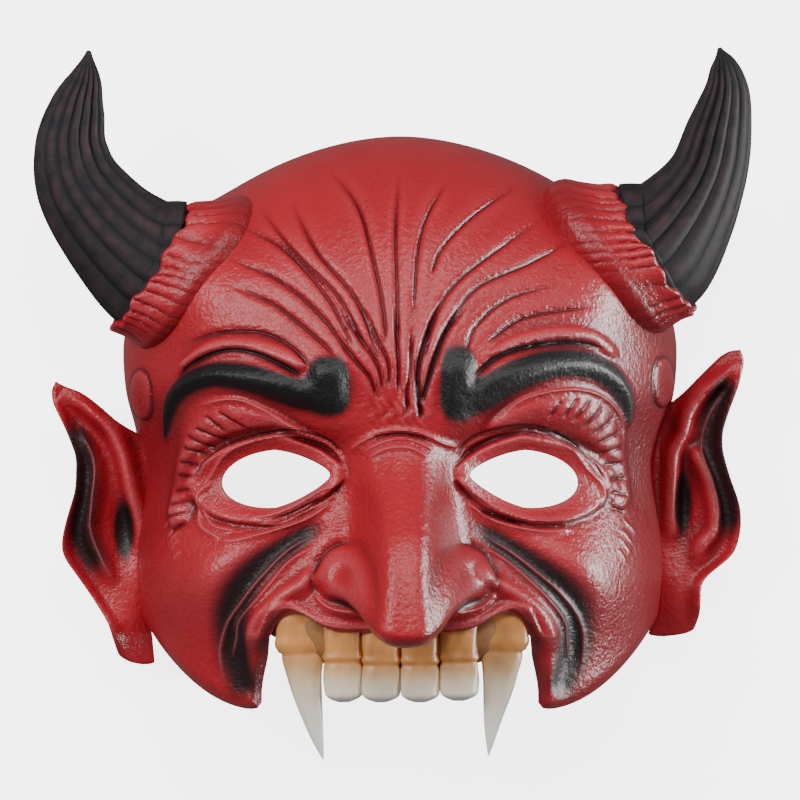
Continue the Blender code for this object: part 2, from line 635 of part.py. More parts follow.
def triangles_of(thing):
    """How many triangles the object has as it stands."""
    evaluated = thing.evaluated_get(bpy.context.evaluated_depsgraph_get())
    mesh = evaluated.to_mesh()
    mesh.calc_loop_triangles()
    count = len(mesh.loop_triangles)
    corners = np.array([v.co for v in mesh.vertices])
    evaluated.to_mesh_clear()
    return count, corners.min(axis=0), corners.max(axis=0)


def make_material():
    """Satin red paint on self-skinned foam."""
    material = bpy.data.materials.new("devil_red")
    material.use_nodes = True
    shader = material.node_tree.nodes["Principled BSDF"]
    shader.inputs["Base Color"].default_value = RED
    shader.inputs["Roughness"].default_value = 0.38
    shader.inputs["Metallic"].default_value = 0.0
    return material


def build():
    """Builds the mask."""
    for thing in list(bpy.data.objects):
        bpy.data.objects.remove(thing, do_unlink=True)
    mask = make_skin_solid("mask", skin_grid(150, inner=False), 0, make_material())
    for sign, place in ((-1, (-88.9, 50.2)), (1, (91.2, 56.2))):
        root = to_metres(np.array(place[0]), np.array(place[1]), np.array(0.0)) + (0, 0, HORN_ROOT_HEIGHT)
        horn, cuff = make_horn(sign, root)
        join(mask, cuff, "UNION")
        join(mask, horn, "UNION")
    tall = FACE_DEPTH + NOSE_REACH + 40 * MM
    join(mask, make_prism("mouth_cutter", mouth_outline(), -10 * MM, tall), "DIFFERENCE")
    join(mask, make_ear(-1, 8.5), "UNION")
    join(mask, make_ear(1, 20), "UNION")
    hollow = skin_grid(76, inner=True)
    below = hollow[:1] - (0, 10 * MM, 0)
    hollow = np.concatenate([below, hollow])
    join(mask, hide(make_skin_solid("hollow", hollow, 10 * MM)), "DIFFERENCE")
    for sign in (-1, 1):
        side = "right" if sign > 0 else "left"
        join(mask, make_prism("eye_cutter_" + side, eye_outline(sign), -10 * MM, tall), "DIFFERENCE")
    join(mask, make_gum(), "UNION")
    for k in range(4):
        place = (k - 1.5) * (TOOTH_WIDTH / MM + 0.35)
        join(mask, make_tooth("tooth_%d" % (k + 1), place, TOOTH_WIDTH, TOOTH_LENGTH, 0.0, 0), "UNION")
    for sign, lean in ((-1, 0.14), (1, 0.09)):
        side = "right" if sign > 0 else "left"
        join(mask, make_tooth("fang_" + side, sign * 35.8, FANG_WIDTH, FANG_LENGTH, -sign * lean, 1), "UNION")
    count, low, high = triangles_of(mask)
    thin = mask.modifiers.new("fewer_triangles", "DECIMATE")
    thin.ratio = min(1.0, TRIANGLES_KEPT / count)
    thin.use_collapse_triangulate = True
    centre = (low + high) / 2
    move = Matrix.Translation(Vector((-centre[0], -centre[1], 0)))
    for thing in bpy.data.objects:
        thing.data.transform(move)
    mask.data.shade_smooth()


build()
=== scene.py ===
import bmesh
import bpy
import numpy as np
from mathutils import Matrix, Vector


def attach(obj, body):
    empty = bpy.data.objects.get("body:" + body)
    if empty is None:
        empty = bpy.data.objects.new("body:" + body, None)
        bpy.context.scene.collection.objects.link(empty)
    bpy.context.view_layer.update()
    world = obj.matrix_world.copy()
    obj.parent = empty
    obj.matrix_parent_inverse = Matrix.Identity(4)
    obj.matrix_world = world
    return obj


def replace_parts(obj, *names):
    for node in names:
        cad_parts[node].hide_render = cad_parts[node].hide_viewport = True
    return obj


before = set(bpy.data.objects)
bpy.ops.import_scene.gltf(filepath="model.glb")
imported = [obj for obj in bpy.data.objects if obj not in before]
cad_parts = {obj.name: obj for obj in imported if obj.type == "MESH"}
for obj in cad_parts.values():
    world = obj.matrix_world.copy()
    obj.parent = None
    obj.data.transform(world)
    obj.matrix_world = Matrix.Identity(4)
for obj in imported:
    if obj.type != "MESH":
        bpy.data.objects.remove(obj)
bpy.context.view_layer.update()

# The skin of the face: one casting of flexible foam about 3.6 mm thick, painted satin red with
# black airbrushed over the brows and into the deep folds. Its carving is laid out on a plan of
# the face whose unit is a millimetre; the eye holes, the mouth and the hollow are cut out of it.

MM = 0.001
SHIFT = np.array([2.96, -0.95, 0.0]) * MM
HALF_WIDTH, CROWN, TOP, BOTTOM, DEPTH = 103.0, 20.0, 100.0, -110.0, 86.0
WALL = 3.6
NOSE_REACH, NOSE_DROOP, NOSE_LEAN, ROOT_SWELL = 43.0, 17.0, 2.0, 7.0
EYE_LENGTH, EYE_HEIGHT, EYE_SPACING, EYE_LEVEL, EYE_SLOPE = 39.0, 20.5, 88.4, -26.2, 1.6
LIP_LEVEL, NOSE_TIP_HALF, NOTCH_LEVEL, UNDER_NOSE_TOP = -80, 17.2, -96, 88
CUT_LOW, CUT_HIGH = -10, 200
SKIN_ROWS_LOW, SKIN_ROWS_HIGH, SKIN_COLUMNS = 222, 88, 330

# Brows, left and right: middle line with half width, the square head of each with its half width
# and half height, the bulge under each head and the fold of skin over each brow
BROWS = (
    [(-26, 4.0, 5.4), (-34, 3.8, 5.3), (-40, 5.6, 5.1), (-49, 8.8, 4.9), (-57, 10.4, 4.5), (-64, 10.6, 4.2),
     (-71.5, 8.2, 3.8), (-78, 3.6, 3.1), (-82.5, -3, 2.4), (-86, -11, 1.0)],
    [(22, 3, 5.6), (28, 3.2, 5.6), (34, 7.2, 5.5), (42, 11.6, 5.3), (52, 14.6, 4.8), (64, 14.2, 4.6),
     (73, 9.6, 4.1), (79, 2, 3.0), (82.5, -6, 1.0)],
)
BROW_HEADS = ((-24.2, 6.8, 7.0, 10.2), (19.8, 7.6, 6.0, 13.0))
BROW_BULGES = ((-24, -6.5, 9, 6.5), (20.5, -6.5, 9, 6.5))
BROW_FOLDS = (
    [(-31, 12.5, 1.6), (-40, 17.6, 2.8), (-52, 20.3, 3.1), (-66, 19, 3.2), (-78, 12, 2)],
    [(30, 17, 1.4), (40, 22, 2.2), (52, 24.6, 2.8), (66, 23.5, 3), (77, 16.5, 2)],
)

# Furrows that fan over the forehead from between the brows
FURROWS = (
    [(-27.3, 86.9), (-15.3, 71.4), (-9.8, 53), (-6, 34.7), (-4.5, 20)],
    [(-39.9, 75.1), (-29.6, 54.6), (-15.1, 36.5), (-6, 12.3)],
    [(-51.8, 72.8), (-37.7, 54.6), (-21.4, 37.6), (-10.5, 16.8)],
    [(-58.7, 64.4), (-41.9, 55.6), (-26, 38.3), (-15.1, 18.6)],
    [(-63, 52.2), (-43.9, 44.6), (-28.4, 31.9), (-15.1, 15.1)],
    [(-63, 43), (-46.3, 36.5), (-33, 26.7), (-21.4, 16.8)],
    [(-79, 19.7), (-64.6, 25), (-49.3, 25.6), (-37.6, 20.4), (-29.5, 12.3)],
    [(0, 86), (-1.5, 62), (-1, 40), (-0.6, 20)],
    [(18.1, 81.3), (9.9, 68), (6.3, 54.4), (4.6, 30)],
    [(45, 80), (27.9, 69), (15.1, 56), (10.9, 45.6)],
    [(54, 68.3), (35.9, 56), (19.7, 42.8), (11.6, 29.5), (8.4, 15)],
    [(63, 59), (45.6, 50), (26.7, 41), (15.8, 26.3)],
    [(58.3, 42.8), (38.6, 37.6), (26.7, 27.7), (22.5, 18.6)],
    [(70, 34), (56, 33), (42, 30), (30, 22)],
)
# Upright frown lines between the brows, two black ones, and the black grooves over the brows
FROWNS = (
    [(-22, 24), (-13.5, 13.5), (-10, 9), (-8, 2)],
    [(-24, 37), (-13.5, 23), (-7.5, 13.5), (-6, 3)],
    [(-14.5, 37), (-8, 23.5), (-4, 14.5), (-4, 5)],
    [(-2, 37), (-1, 22), (-0.5, 14), (-0.5, 3)],
    [(4.5, 28), (4, 21), (3.5, 12), (2.5, 4), (3, -5.5)],
)
DARK_FROWNS = (
    [(14.5, 37), (10, 26), (7, 17), (6, 10), (6.5, 2), (7.5, -6)],
    [(25.5, 37), (17, 27.5), (13.5, 20.5), (11, 13.5), (9, 6.5), (7.5, 0)],
)
DARK_BROW_GROOVES = (
    [(24.5, 9), (33.5, 17), (44.5, 20.6), (56.5, 22), (65.5, 21.4), (71, 19)],
    [(-33, 9.8), (-38, 12.8), (-47, 17.4), (-55.3, 19.4), (-62, 18.8), (-69, 16), (-75.6, 11.4),
     (-80.5, 4.4)],
)

# Puffy hoods over the eyes, their upper ridge, the short pleats across them and the lids' outer rim
HOODS = (
    [(-27, -13.5, 1.0), (-36, -9.8, 1.9), (-46.8, -6.2, 4.8), (-56.8, -6, 7.6), (-67, -9.5, 9),
     (-74, -19, 7.4), (-77, -29, 6), (-78, -38, 4.5), (-75, -45, 3)],
    [(29, -10.5, 1.0), (37, -5.8, 3.6), (46, -2.8, 6), (56.5, -3.2, 8), (66, -6.5, 9), (73.5, -14, 7.6),
     (77, -22.5, 6.6), (78.5, -31, 5.6), (77, -40, 3.5)],
)
HOOD_RIDGES = (
    [(-71.5, -0.5), (-57.5, 2), (-47.5, -1.5), (-37.5, -8), (-25, -15), (-19.5, -23)],
    [(34, -6.5), (40, 0.5), (48, 4), (58.5, 5.5), (67, 4), (74.5, -0.5), (80, -7.5), (81.5, -18)],
)
PLEATS = (
    [(-63, -2), (-51.8, -9.6)], [(-67.5, -3.5), (-59.9, -10.3)], [(-72, -8), (-60, -13.2)],
    [(-76, -10.5), (-64.8, -16.1)], [(-78, -15), (-66, -18.6)], [(-80, -20.5), (-69.2, -21.7)],
    [(-81, -25.5), (-71, -25.5)], [(-81, -31), (-72.2, -30.2)], [(-81, -36), (-73.8, -34.4)],
    [(-82, -41), (-74, -38.6)], [(-80, -46), (-73.2, -42)], [(55, 2), (51, -5.2)], [(60.5, 3), (55.7, -5)],
    [(65.5, 2.5), (59.1, -6.3)], [(70.5, -0.5), (62.5, -8.9)], [(75.5, -4), (66.3, -11.2)],
    [(78.5, -9), (68.5, -14.2)], [(80.5, -14.5), (69.7, -17.7)], [(81, -20.5), (71.8, -21.7)],
    [(81.5, -26.5), (73.5, -26.5)], [(81, -32.5), (74.2, -31.3)], [(79.5, -38.5), (73.5, -36.5)],
)
LID_RIMS = (
    [(-73, -35.5), (-68, -26.5), (-62.5, -18), (-54, -13.5), (-42.5, -11), (-35, -11.5), (-25.5, -15),
     (-19.5, -22.5)],
    [(19.5, -22.5), (24.5, -15), (34, -10.5), (44, -9), (52.5, -10.5), (61.5, -16), (67, -23), (71, -28.5),
     (71.5, -34.5), (68.5, -38)],
)
# Thin ridges under the eyes, over the root of the nose and beside the mouth
THIN_RIDGES = (
    [(-66.5, -27), (-70.5, -33), (-68.5, -42.5), (-60, -47.5)],
    [(-69.5, -36.5), (-64.5, -42.5), (-57, -44.5)],
    [(-52.5, -40), (-44, -38.5), (-35.5, -34.5), (-29, -30.5), (-23.5, -28.5)],
    [(-51, -42), (-42.5, -42), (-34.5, -38), (-26.5, -33.5), (-23.5, -31)],
    [(-60, -47.5), (-55.5, -48), (-47.5, -45.5), (-40, -43), (-32, -39.5), (-23.5, -33.5)],
    [(21, -25.5), (28.5, -34), (39, -39), (50.5, -41), (62, -40)],
    [(23.5, -34), (34, -41), (48, -44.5), (60, -44)],
    [(-20, -17), (-13, -12.6), (-6, -9.8), (0.5, -9), (7.5, -10), (15.5, -13.5), (23, -15.5)],
    [(-14.5, -17), (-6, -13), (0.5, -11.6), (6.5, -13), (13, -16.5)],
    [(-12, -19), (-6, -15.6), (0, -14.6), (5.5, -15.6), (11, -19)],
    [(-31, -45.5), (-40, -52), (-47.5, -61.5), (-53.5, -70), (-59, -77.5), (-62, -85), (-63, -90),
     (-62.5, -101)],
    [(-29, -49), (-38, -55), (-43, -62), (-48.5, -69.5), (-55, -77), (-57, -83.5), (-60, -91.5)],
    [(29, -45.5), (39, -52), (47.5, -60), (54.5, -67.5), (61, -76), (64, -84), (64.5, -96)],
    [(28, -49), (37, -55), (43.5, -61.5), (50, -69), (56, -77), (58, -84), (60, -92)],
)
# Slits between those ridges
SLITS = (
    [(-47.5, -41), (-40, -38.9), (-32, -34.8), (-26, -31.6)],
    [(27.5, -36), (31, -38), (40, -41), (52, -42.8)],
    [(-17, -13.8), (-8, -11.2), (0, -10.2), (8, -11.6), (18, -15)],
)
# Rolls of skin that run from the nose round the mouth
MOUTH_FOLDS = (
    [(-27, -56), (-32, -62), (-38, -66.5), (-43.5, -71.5), (-47.5, -76.5), (-50, -82), (-51, -90)],
    [(25, -55), (31, -61), (38, -66), (44, -71), (48, -76.5), (50.5, -82), (51.5, -90)],
)
# Crease round a nose wing, rim under its nostril, and how far the nose sits right of the middle
WING_CREASE = ((17, -49.4), (22, -48.8), (27, -51.4), (30.2, -56.4), (31.4, -62.5), (30.2, -67.5))
NOSTRIL_RIM = ((31, -66), (27.5, -69.8), (23.5, -72), (17, -72.8))
WING_SHIFT = 1.6
# Raised oval on each temple: its middle, and the half axes of the oval and of the ring round it
TEMPLE_OVALS = ((-93.6, 3.6), (95.2, 8.2))
OVAL_AXES, RING_AXES = (4.2, 8.4), (4.9, 9.4)
# Deep creases over the upper lids
LID_CREASES = (
    [(-72, -28), (-69, -20), (-63, -14.6), (-54, -11.4), (-43, -9.2), (-35, -9.2), (-26, -12.6), (-20, -19)],
    [(20, -20), (25, -12.6), (34, -8.4), (44, -7), (53, -8.6), (62.5, -13.6), (68.5, -20.5), (72.5, -28)],
)
# Bands beside the mouth that are airbrushed black, with their half width
BLACK_BANDS = (
    [(-25, -41, 1.5), (-34, -46, 3.5), (-45, -54.5, 5), (-52, -64, 5.6), (-57, -76, 6.4), (-57.5, -88, 7),
     (-55.5, -98, 6.6), (-54, -108, 5)],
    [(21, -40, 1.5), (33, -47, 3.6), (44.5, -56, 5), (53, -65, 5.8), (59, -75, 6.4), (60.5, -86, 7),
     (58, -97, 6.4), (55, -107, 4.6)],
)
# Pale wrinkles on the cheekbones
WRINKLES = (
    [(-77, -41.6), (-81, -48.5)], [(-75.7, -43.7), (-79.7, -51.2)], [(-75, -47.7), (-78.4, -52.6)],
    [(-73.6, -51.9), (-76.5, -56)], [(-79.5, -39.5), (-84, -45)], [(76, -44), (80.5, -51)],
    [(74.5, -47), (78.5, -54)], [(73, -51), (76, -56.5)], [(78.5, -41), (83, -47)],
)


def soft(t):
    """Rises from nought to one along an S, and stays flat outside."""
    t = np.clip(t, 0.0, 1.0)
    return t * t * (3.0 - 2.0 * t)


def bump(x, y, cx, cy, rx, ry, turn=0.0):
    """A bell-shaped swelling: one in its middle, falling away along its two turned axes."""
    c, s = np.cos(np.radians(turn)), np.sin(np.radians(turn))
    along = (x - cx) * c + (y - cy) * s
    across = (y - cy) * c - (x - cx) * s
    return np.exp(-((along / rx) ** 2) - (across / ry) ** 2)


def smooth_path(points, count):
    """A smooth curve through a few points: each stretch is a cubic whose ends keep the chord's turn."""
    p = np.array(points, dtype=float)
    p = np.vstack([2 * p[0] - p[1], p, 2 * p[-1] - p[-2]])
    t = np.linspace(0.0, len(points) - 1.0, count)
    i = np.minimum(t.astype(int), len(points) - 2)
    f = (t - i)[:, None]
    a, b, c, d = p[i], p[i + 1], p[i + 2], p[i + 3]
    return 0.5 * (2 * b + (c - a) * f + (2 * a - 5 * b + 4 * c - d) * f**2 + (3 * b - a - 3 * c + d) * f**3)


def stroke(x, y, points, reach=8.0, start=0.12, end=0.12):
    """Distance from a smooth line through a few points, positive on its left and worked out within
    reach of it, a strength that fades towards both ends, and the line's third value (its half width)
    at the nearest place."""
    path = smooth_path(points, 7 * len(points))
    low, high = path.min(axis=0) - reach, path.max(axis=0) + reach
    close = (x > low[0]) & (x < high[0]) & (y > low[1]) & (y < high[1])
    px, py = x[close], y[close]
    near = np.full(px.shape, 9.0 * reach)
    place = np.zeros(px.shape)
    for k in range(len(path) - 1):
        (ax, ay), (bx, by) = path[k, :2], path[k + 1, :2]
        run = max((bx - ax) ** 2 + (by - ay) ** 2, 1e-9)
        t = np.clip(((px - ax) * (bx - ax) + (py - ay) * (by - ay)) / run, 0, 1)
        d = np.hypot(px - ax - t * (bx - ax), py - ay - t * (by - ay))
        closer = d < np.abs(near)
        d = np.where((bx - ax) * (py - ay) > (by - ay) * (px - ax), d, -d)
        near[closer] = d[closer]
        place[closer] = (k + t[closer]) / (len(path) - 1)
    whole = np.full(x.shape, 9.0 * reach)
    whole[close] = near
    strength = np.zeros(x.shape)
    strength[close] = soft(place / max(start, 1e-6)) * soft((1 - place) / max(end, 1e-6))
    width = np.ones(x.shape)
    if path.shape[1] > 2:
        width[close] = np.interp(place, np.linspace(0, 1, len(path)), path[:, 2])
    return whole, strength, width


def groove(x, y, points, deep, wide, start=0.12, end=0.12):
    """A cut line between low swellings: a narrow bell taken from a wide low one."""
    near, strength, _ = stroke(x, y, points, 8 * wide, start, end)
    swelling = 0.42 * np.exp(-((near / (3.2 * wide)) ** 2))
    return strength * deep * (swelling - 1.2 * np.exp(-((near / wide) ** 2)))


def ridge(x, y, points, tall, wide, start=0.12, end=0.12):
    """A raised line: a bell across it."""
    near, strength, _ = stroke(x, y, points, 5 * wide, start, end)
    return strength * tall * np.exp(-((near / wide) ** 2))


def puff(x, y, points, tall, start=0.1, end=0.1):
    """A roll of skin of varying width: an S up from each edge to a round back."""
    near, strength, width = stroke(x, y, points, 12.0, start, end)
    return tall * strength * soft((1.35 - np.abs(near) / width) / 1.2)


def scribe(paint, x, y, points, depth, start=0.15, end=0.15):
    """Notes a fine line for the grain and for the paint, which lays painted shade along a cut line and a
    painted highlight along a raised one: the signed distance to it, and how strongly it marks the skin at
    each place. A cut line has a positive depth and a raised one a negative."""
    near, strength, _ = stroke(x, y, points, 3.0, start, end)
    mark = depth * strength * soft((1.8 - np.abs(near)) / 0.9)
    stronger = np.abs(mark) > np.abs(paint["mark"])
    paint["line"][stronger] = near[stronger]
    paint["mark"][stronger] = mark[stronger]


def half_width(y):
    """Half the width of the face at a height: an egg above the crown line, nearly straight below."""
    up = np.clip((y - CROWN) / (TOP - CROWN), 0, 1)
    narrowing = 0.06 * soft((CROWN - y) / 45) + 0.03 * soft((-50 - y) / 60)
    return HALF_WIDTH * (1 - up**1.8) ** (1 / 1.8) * (1 - narrowing)


def middle_depth(y):
    """Height of the face's middle line above the rim, without brows and nose."""
    up = np.clip((y - CROWN) / (TOP - CROWN), 0, 1)
    sinking = 0.10 * soft((CROWN - y) / 90) + 0.06 * soft((-70 - y) / 40)
    return DEPTH * (1 - up**2.1) ** (1 / 2.1) * (1 - sinking)


def eye_measure(x, y):
    """Distance outside the rim of an eye hole, roughly: an almond, pinched at the nose, sloping down
    outwards."""
    half, tall = EYE_LENGTH / 2, EYE_HEIGHT / 2
    across = (np.abs(x) - EYE_SPACING / 2) / half
    pinch = np.clip((1.25 + across) / 1.25, 0.05, 1) ** 0.45
    up = (y - EYE_LEVEL + EYE_SLOPE * across) / (tall * pinch)
    return (np.sqrt(across**2 + up**2) - 1) * tall


def chin_edge(x):
    """Height of the cheeks' lower edge: round under the cheek, rising to the ears."""
    ax = np.abs(x)
    return -109 + 22 * (np.clip(ax - 52, 0, None) / 36) ** 2 + 3 * bump(ax, 0, 44, 0, 5, 5)


def lip_edge(x):
    """Height of the upper lip: low under the nose, high over the fangs, low at the corners."""
    ax = np.abs(x)
    return LIP_LEVEL + 7 * bump(ax, 0, 37, 0, 9, 9) - 6 * soft((ax - 42) / 6)


def cheek_end(y):
    """Half the width of the mouth at a height."""
    return 46.5 + 3.0 * soft((-84 - y) / 20)


def broad_form(x, y):
    """The swellings and hollows that both faces of the wall follow."""
    ax = np.abs(x)
    h = 9 * bump(ax, y, 66, -60, 24, 24)
    h = h - 10 * bump(ax, y, 45, -25, 25, 15, -5)
    h = h - 4 * bump(ax, y, 26, -14, 10, 10)
    h = h + 4.5 * bump(ax, y, 50, 10, 40, 11, -8)
    h = h + 5 * bump(ax, y, 24, -74, 24, 13)
    h = h + 4 * bump(ax, y, 48, -96, 9, 14)
    h = h + 3 * bump(x, y, 0, 6, 15, 24)
    h = h - 3 * bump(ax, y, 88, -22, 9, 22)
    return h + ROOT_SWELL * bump(ax, y, 77, 50, 17, 26, -28)


def nose_form(x, y, slim=0.0):
    """The nose: how far it stands out and how far it droops. Its ridge climbs along an S from the
    root to the tip and falls steeply to the lip; its sides fall like a bell with a flat top, and its
    tip hangs lowest in the middle. slim draws it in, for the inner face."""
    x = x - NOSE_LEAN * soft((-12 - y) / 30)
    climb = soft((-8 - y) / 58) ** 0.85
    under = soft((y + 77.5 - slim) / 13)
    width = 15.4 - 1.4 * bump(0, y, 0, -38, 20, 14) - slim + (0 if slim else 2.2 * soft((-54 - y) / 12))
    stand = (NOSE_REACH - slim) * climb * under * np.exp(-np.abs(x / width) ** (3.2 if slim else 3.7))
    share = stand / NOSE_REACH
    round_tip = 0.97 * (1 - 0.16 * np.clip(np.abs(x) / 9.7, 0, 1.6) ** 2)
    hang = 0.5 * share**0.8 if slim else round_tip * soft(share / 0.9)
    return stand, NOSE_DROOP * soft((-44 - y) / 28) * hang


def carving(x, y):
    """Height of the fine carving over the plain form, and what the paint does at each place: how
    black the airbrush left it, and the nearest fine line with its strength. The height is the sum of
    all swellings, rolls, ridges and grooves; the black is the strongest of its bells."""
    ax = np.abs(x)
    h = np.zeros_like(x)
    black = np.zeros_like(x)
    paint = {"line": np.full_like(x, 9.0), "mark": np.zeros_like(x)}
    for line, head, bulge, fold in zip(BROWS, BROW_HEADS, BROW_BULGES, BROW_FOLDS):
        near, _, width = stroke(x, y, line, 14.0, 0.0, 0.0)
        band = np.abs(near) - width
        shape = (np.abs((x - head[0]) / head[2]) ** 3 + np.abs((y - head[1]) / head[3]) ** 3) ** (1 / 3)
        block = (shape - 1) * head[2]
        share = np.clip(0.5 + (band - block) / 7.0, 0, 1)
        edge = band * (1 - share) + block * share - 3.5 * share * (1 - share)
        h = h + 3.4 * soft((2.0 - edge) / 6.6) + 3.2 * bump(x, y, *bulge)
        black = np.maximum(black, soft((1.3 - edge) / 2.0))
        h = h + puff(x, y, fold, 1.9)
    for line in FURROWS:
        h = h + groove(x, y, line, 0.75, 1.25, 0.3, 0.12)
        scribe(paint, x, y, line, 0.85, 0.35, 0.1)
    for line in FROWNS:
        h = h + groove(x, y, line, 1.1, 1.15, 0.2, 0.15)
        scribe(paint, x, y, line, 0.9, 0.3, 0.15)
    for line in DARK_FROWNS:
        near, strength, _ = stroke(x, y, line, 8, 0.3, 0.2)
        h = h + groove(x, y, line, 1.7, 1.3, 0.2, 0.1)
        scribe(paint, x, y, line, 1.0, 0.2, 0.1)
        black = np.maximum(black, 0.9 * strength * np.exp(-((near / 1.1) ** 2)))
    for line in DARK_BROW_GROOVES:
        near, strength, _ = stroke(x, y, line, 8, 0.15, 0.35)
        h = h + groove(x, y, line, 1.5, 1.3, 0.1, 0.3)
        scribe(paint, x, y, line, 1.0, 0.1, 0.2)
        black = np.maximum(black, 0.92 * strength * np.exp(-((near / 1.25) ** 2)))
    # eyes: hood, pleats, lid
    d = eye_measure(x, y)
    outer = soft((ax - 22) / 6)
    inner = soft((ax - 18.5) / 5)
    for line in HOODS:
        h = h + puff(x, y, line, 3.6, 0.12, 0.12)
    for line in PLEATS:
        h = h + groove(x, y, line, 0.6, 1.15, 0.2, 0.2)
        scribe(paint, x, y, line, 0.7, 0.2, 0.3)
    for line in HOOD_RIDGES:
        h = h + ridge(x, y, line, 0.8, 1.1)
        scribe(paint, x, y, line, -0.8)
    h = h + 3.2 * soft((6.6 - d) / 2.4) * soft((d + 3) / 3.0) * inner
    h = h - 1.4 * np.exp(-(((d - 7.8) / 1.3) ** 2)) * outer * soft((y + 38) / 10)
    for line in LID_RIMS:
        h = h + ridge(x, y, line, 0.5, 1.0)
        scribe(paint, x, y, line, -0.7)
    for line in LID_CREASES:
        scribe(paint, x, y, line, 1.0, 0.1, 0.1)
    for line in THIN_RIDGES:
        h = h + ridge(x, y, line, 0.9, 1.1)
        scribe(paint, x, y, line, -0.85)
    for line in SLITS:
        h = h + groove(x, y, line, 0.7, 1.15, 0.3, 0.3)
        scribe(paint, x, y, line, 1.0, 0.3, 0.3)
    # knotted skin at the foot of the frown
    knots = np.sin(1.5 * x + 0.8 * np.sin(0.9 * y)) * np.sin(0.8 * y + 0.5 * x)
    h = h + 0.45 * knots * np.exp(-((x / 10.5) ** 4) - ((y + 2) / 5.5) ** 4)
    # folds from the nose to the cheek
    for line, fold in zip(BLACK_BANDS, MOUTH_FOLDS):
        near, strength, width = stroke(x, y, line, 13, 0.15, 0.12)
        h = h - 2.4 * strength * np.exp(-((near / 5.0) ** 2))
        black = np.maximum(black, 0.96 * strength * soft(1.45 - np.abs(near) / width))
        near, strength, _ = stroke(x, y, fold, 12, 0.15, 0.2)
        h = h + 3.0 * strength * np.exp(-((near / 3.0) ** 2))
        beside = np.exp(-(((np.abs(near) - 4.5) / 1.6) ** 2))
        black = np.maximum(black, 0.55 * strength * beside * soft((-70 - y) / 8))
    h = h + 3.0 * bump(ax, y, 58, -58, 14, 8, -48)
    for line in WRINKLES:
        h = h + ridge(x, y, line, 0.3, 1.1, 0.3, 0.3)
        scribe(paint, x, y, line, -0.6, 0.3, 0.3)
    # nose wings, the crease round each and the nostrils
    nx = np.abs(x - WING_SHIFT)
    wing = np.sqrt(((nx - 20.5) / 10.5) ** 2 + ((y + 59.5) / 10.8) ** 2)
    h = h + 6.4 * soft((1.15 - wing) / 0.8)
    for sign in (-1, 1):
        crease = [(sign * px + WING_SHIFT, py) for px, py in WING_CREASE]
        h = h + groove(x, y, crease, 0.9, 1.3, 0.3, 0.3)
        scribe(paint, x, y, crease, 0.6, 0.3, 0.3)
        under = [(sign * px + WING_SHIFT, py) for px, py in NOSTRIL_RIM]
        h = h + ridge(x, y, under, 0.9, 1.1)
        scribe(paint, x, y, under, -0.8)
    h = h - 3.0 * bump(nx, y, 19.5, -69.3, 5.5, 1.9, 8)
    # the nostril's shallow dent is painted near black: painted shade standing in for the depth of the nostril
    black = np.maximum(black, 0.95 * bump(nx, y, 18.6, -69.5, 5.0, 1.5, 8))
    # black airbrush between the eyes and the ears, partly the mask's paint and partly painted shade that
    # darkens the temple hollows
    black = np.maximum(black, 0.34 * bump(ax, y, 90, -22, 12, 34))
    # raised oval on each temple
    turn = np.linspace(0, 2 * np.pi, 13)
    for cx, cy in TEMPLE_OVALS:
        oval = np.sqrt(((x - cx) / OVAL_AXES[0]) ** 2 + ((y - cy) / OVAL_AXES[1]) ** 2)
        h = h + soft((1.2 - oval) / 0.35)
        ring = np.stack([cx + RING_AXES[0] * np.cos(turn), cy + RING_AXES[1] * np.sin(turn)], 1)
        scribe(paint, x, y, ring, 0.75, 0.01, 0.01)
    # rolled edge of the lip
    lip = y - lip_edge(x)
    h = h + 1.7 * np.exp(-(((lip - 2.2) / 1.7) ** 2)) * soft((50 - ax) / 5)
    across = np.linspace(-45, 45, 15)
    scribe(paint, x, y, np.stack([across, lip_edge(across) + 1.4], 1), -0.9, 0.05, 0.05)
    paint["black"] = black
    return h, paint


def edge_roll(x, y, radius=7.0):
    """How far the cheeks have rolled inwards near their free edges: a quarter circle that starts
    one radius inside the edge, and a straight slope past it."""

    def rolled(d):
        """Drop at a distance inside the edge."""
        turn = np.clip(radius - d, 0, 1.6 * radius)
        arc = np.minimum(turn, 0.88 * radius)
        return radius - np.sqrt(radius**2 - arc**2) + 1.85 * (turn - arc)

    inner = rolled(np.abs(x) - cheek_end(y)) * soft((-82 - y) / 7)
    return np.maximum(rolled(y - chin_edge(x)), inner)


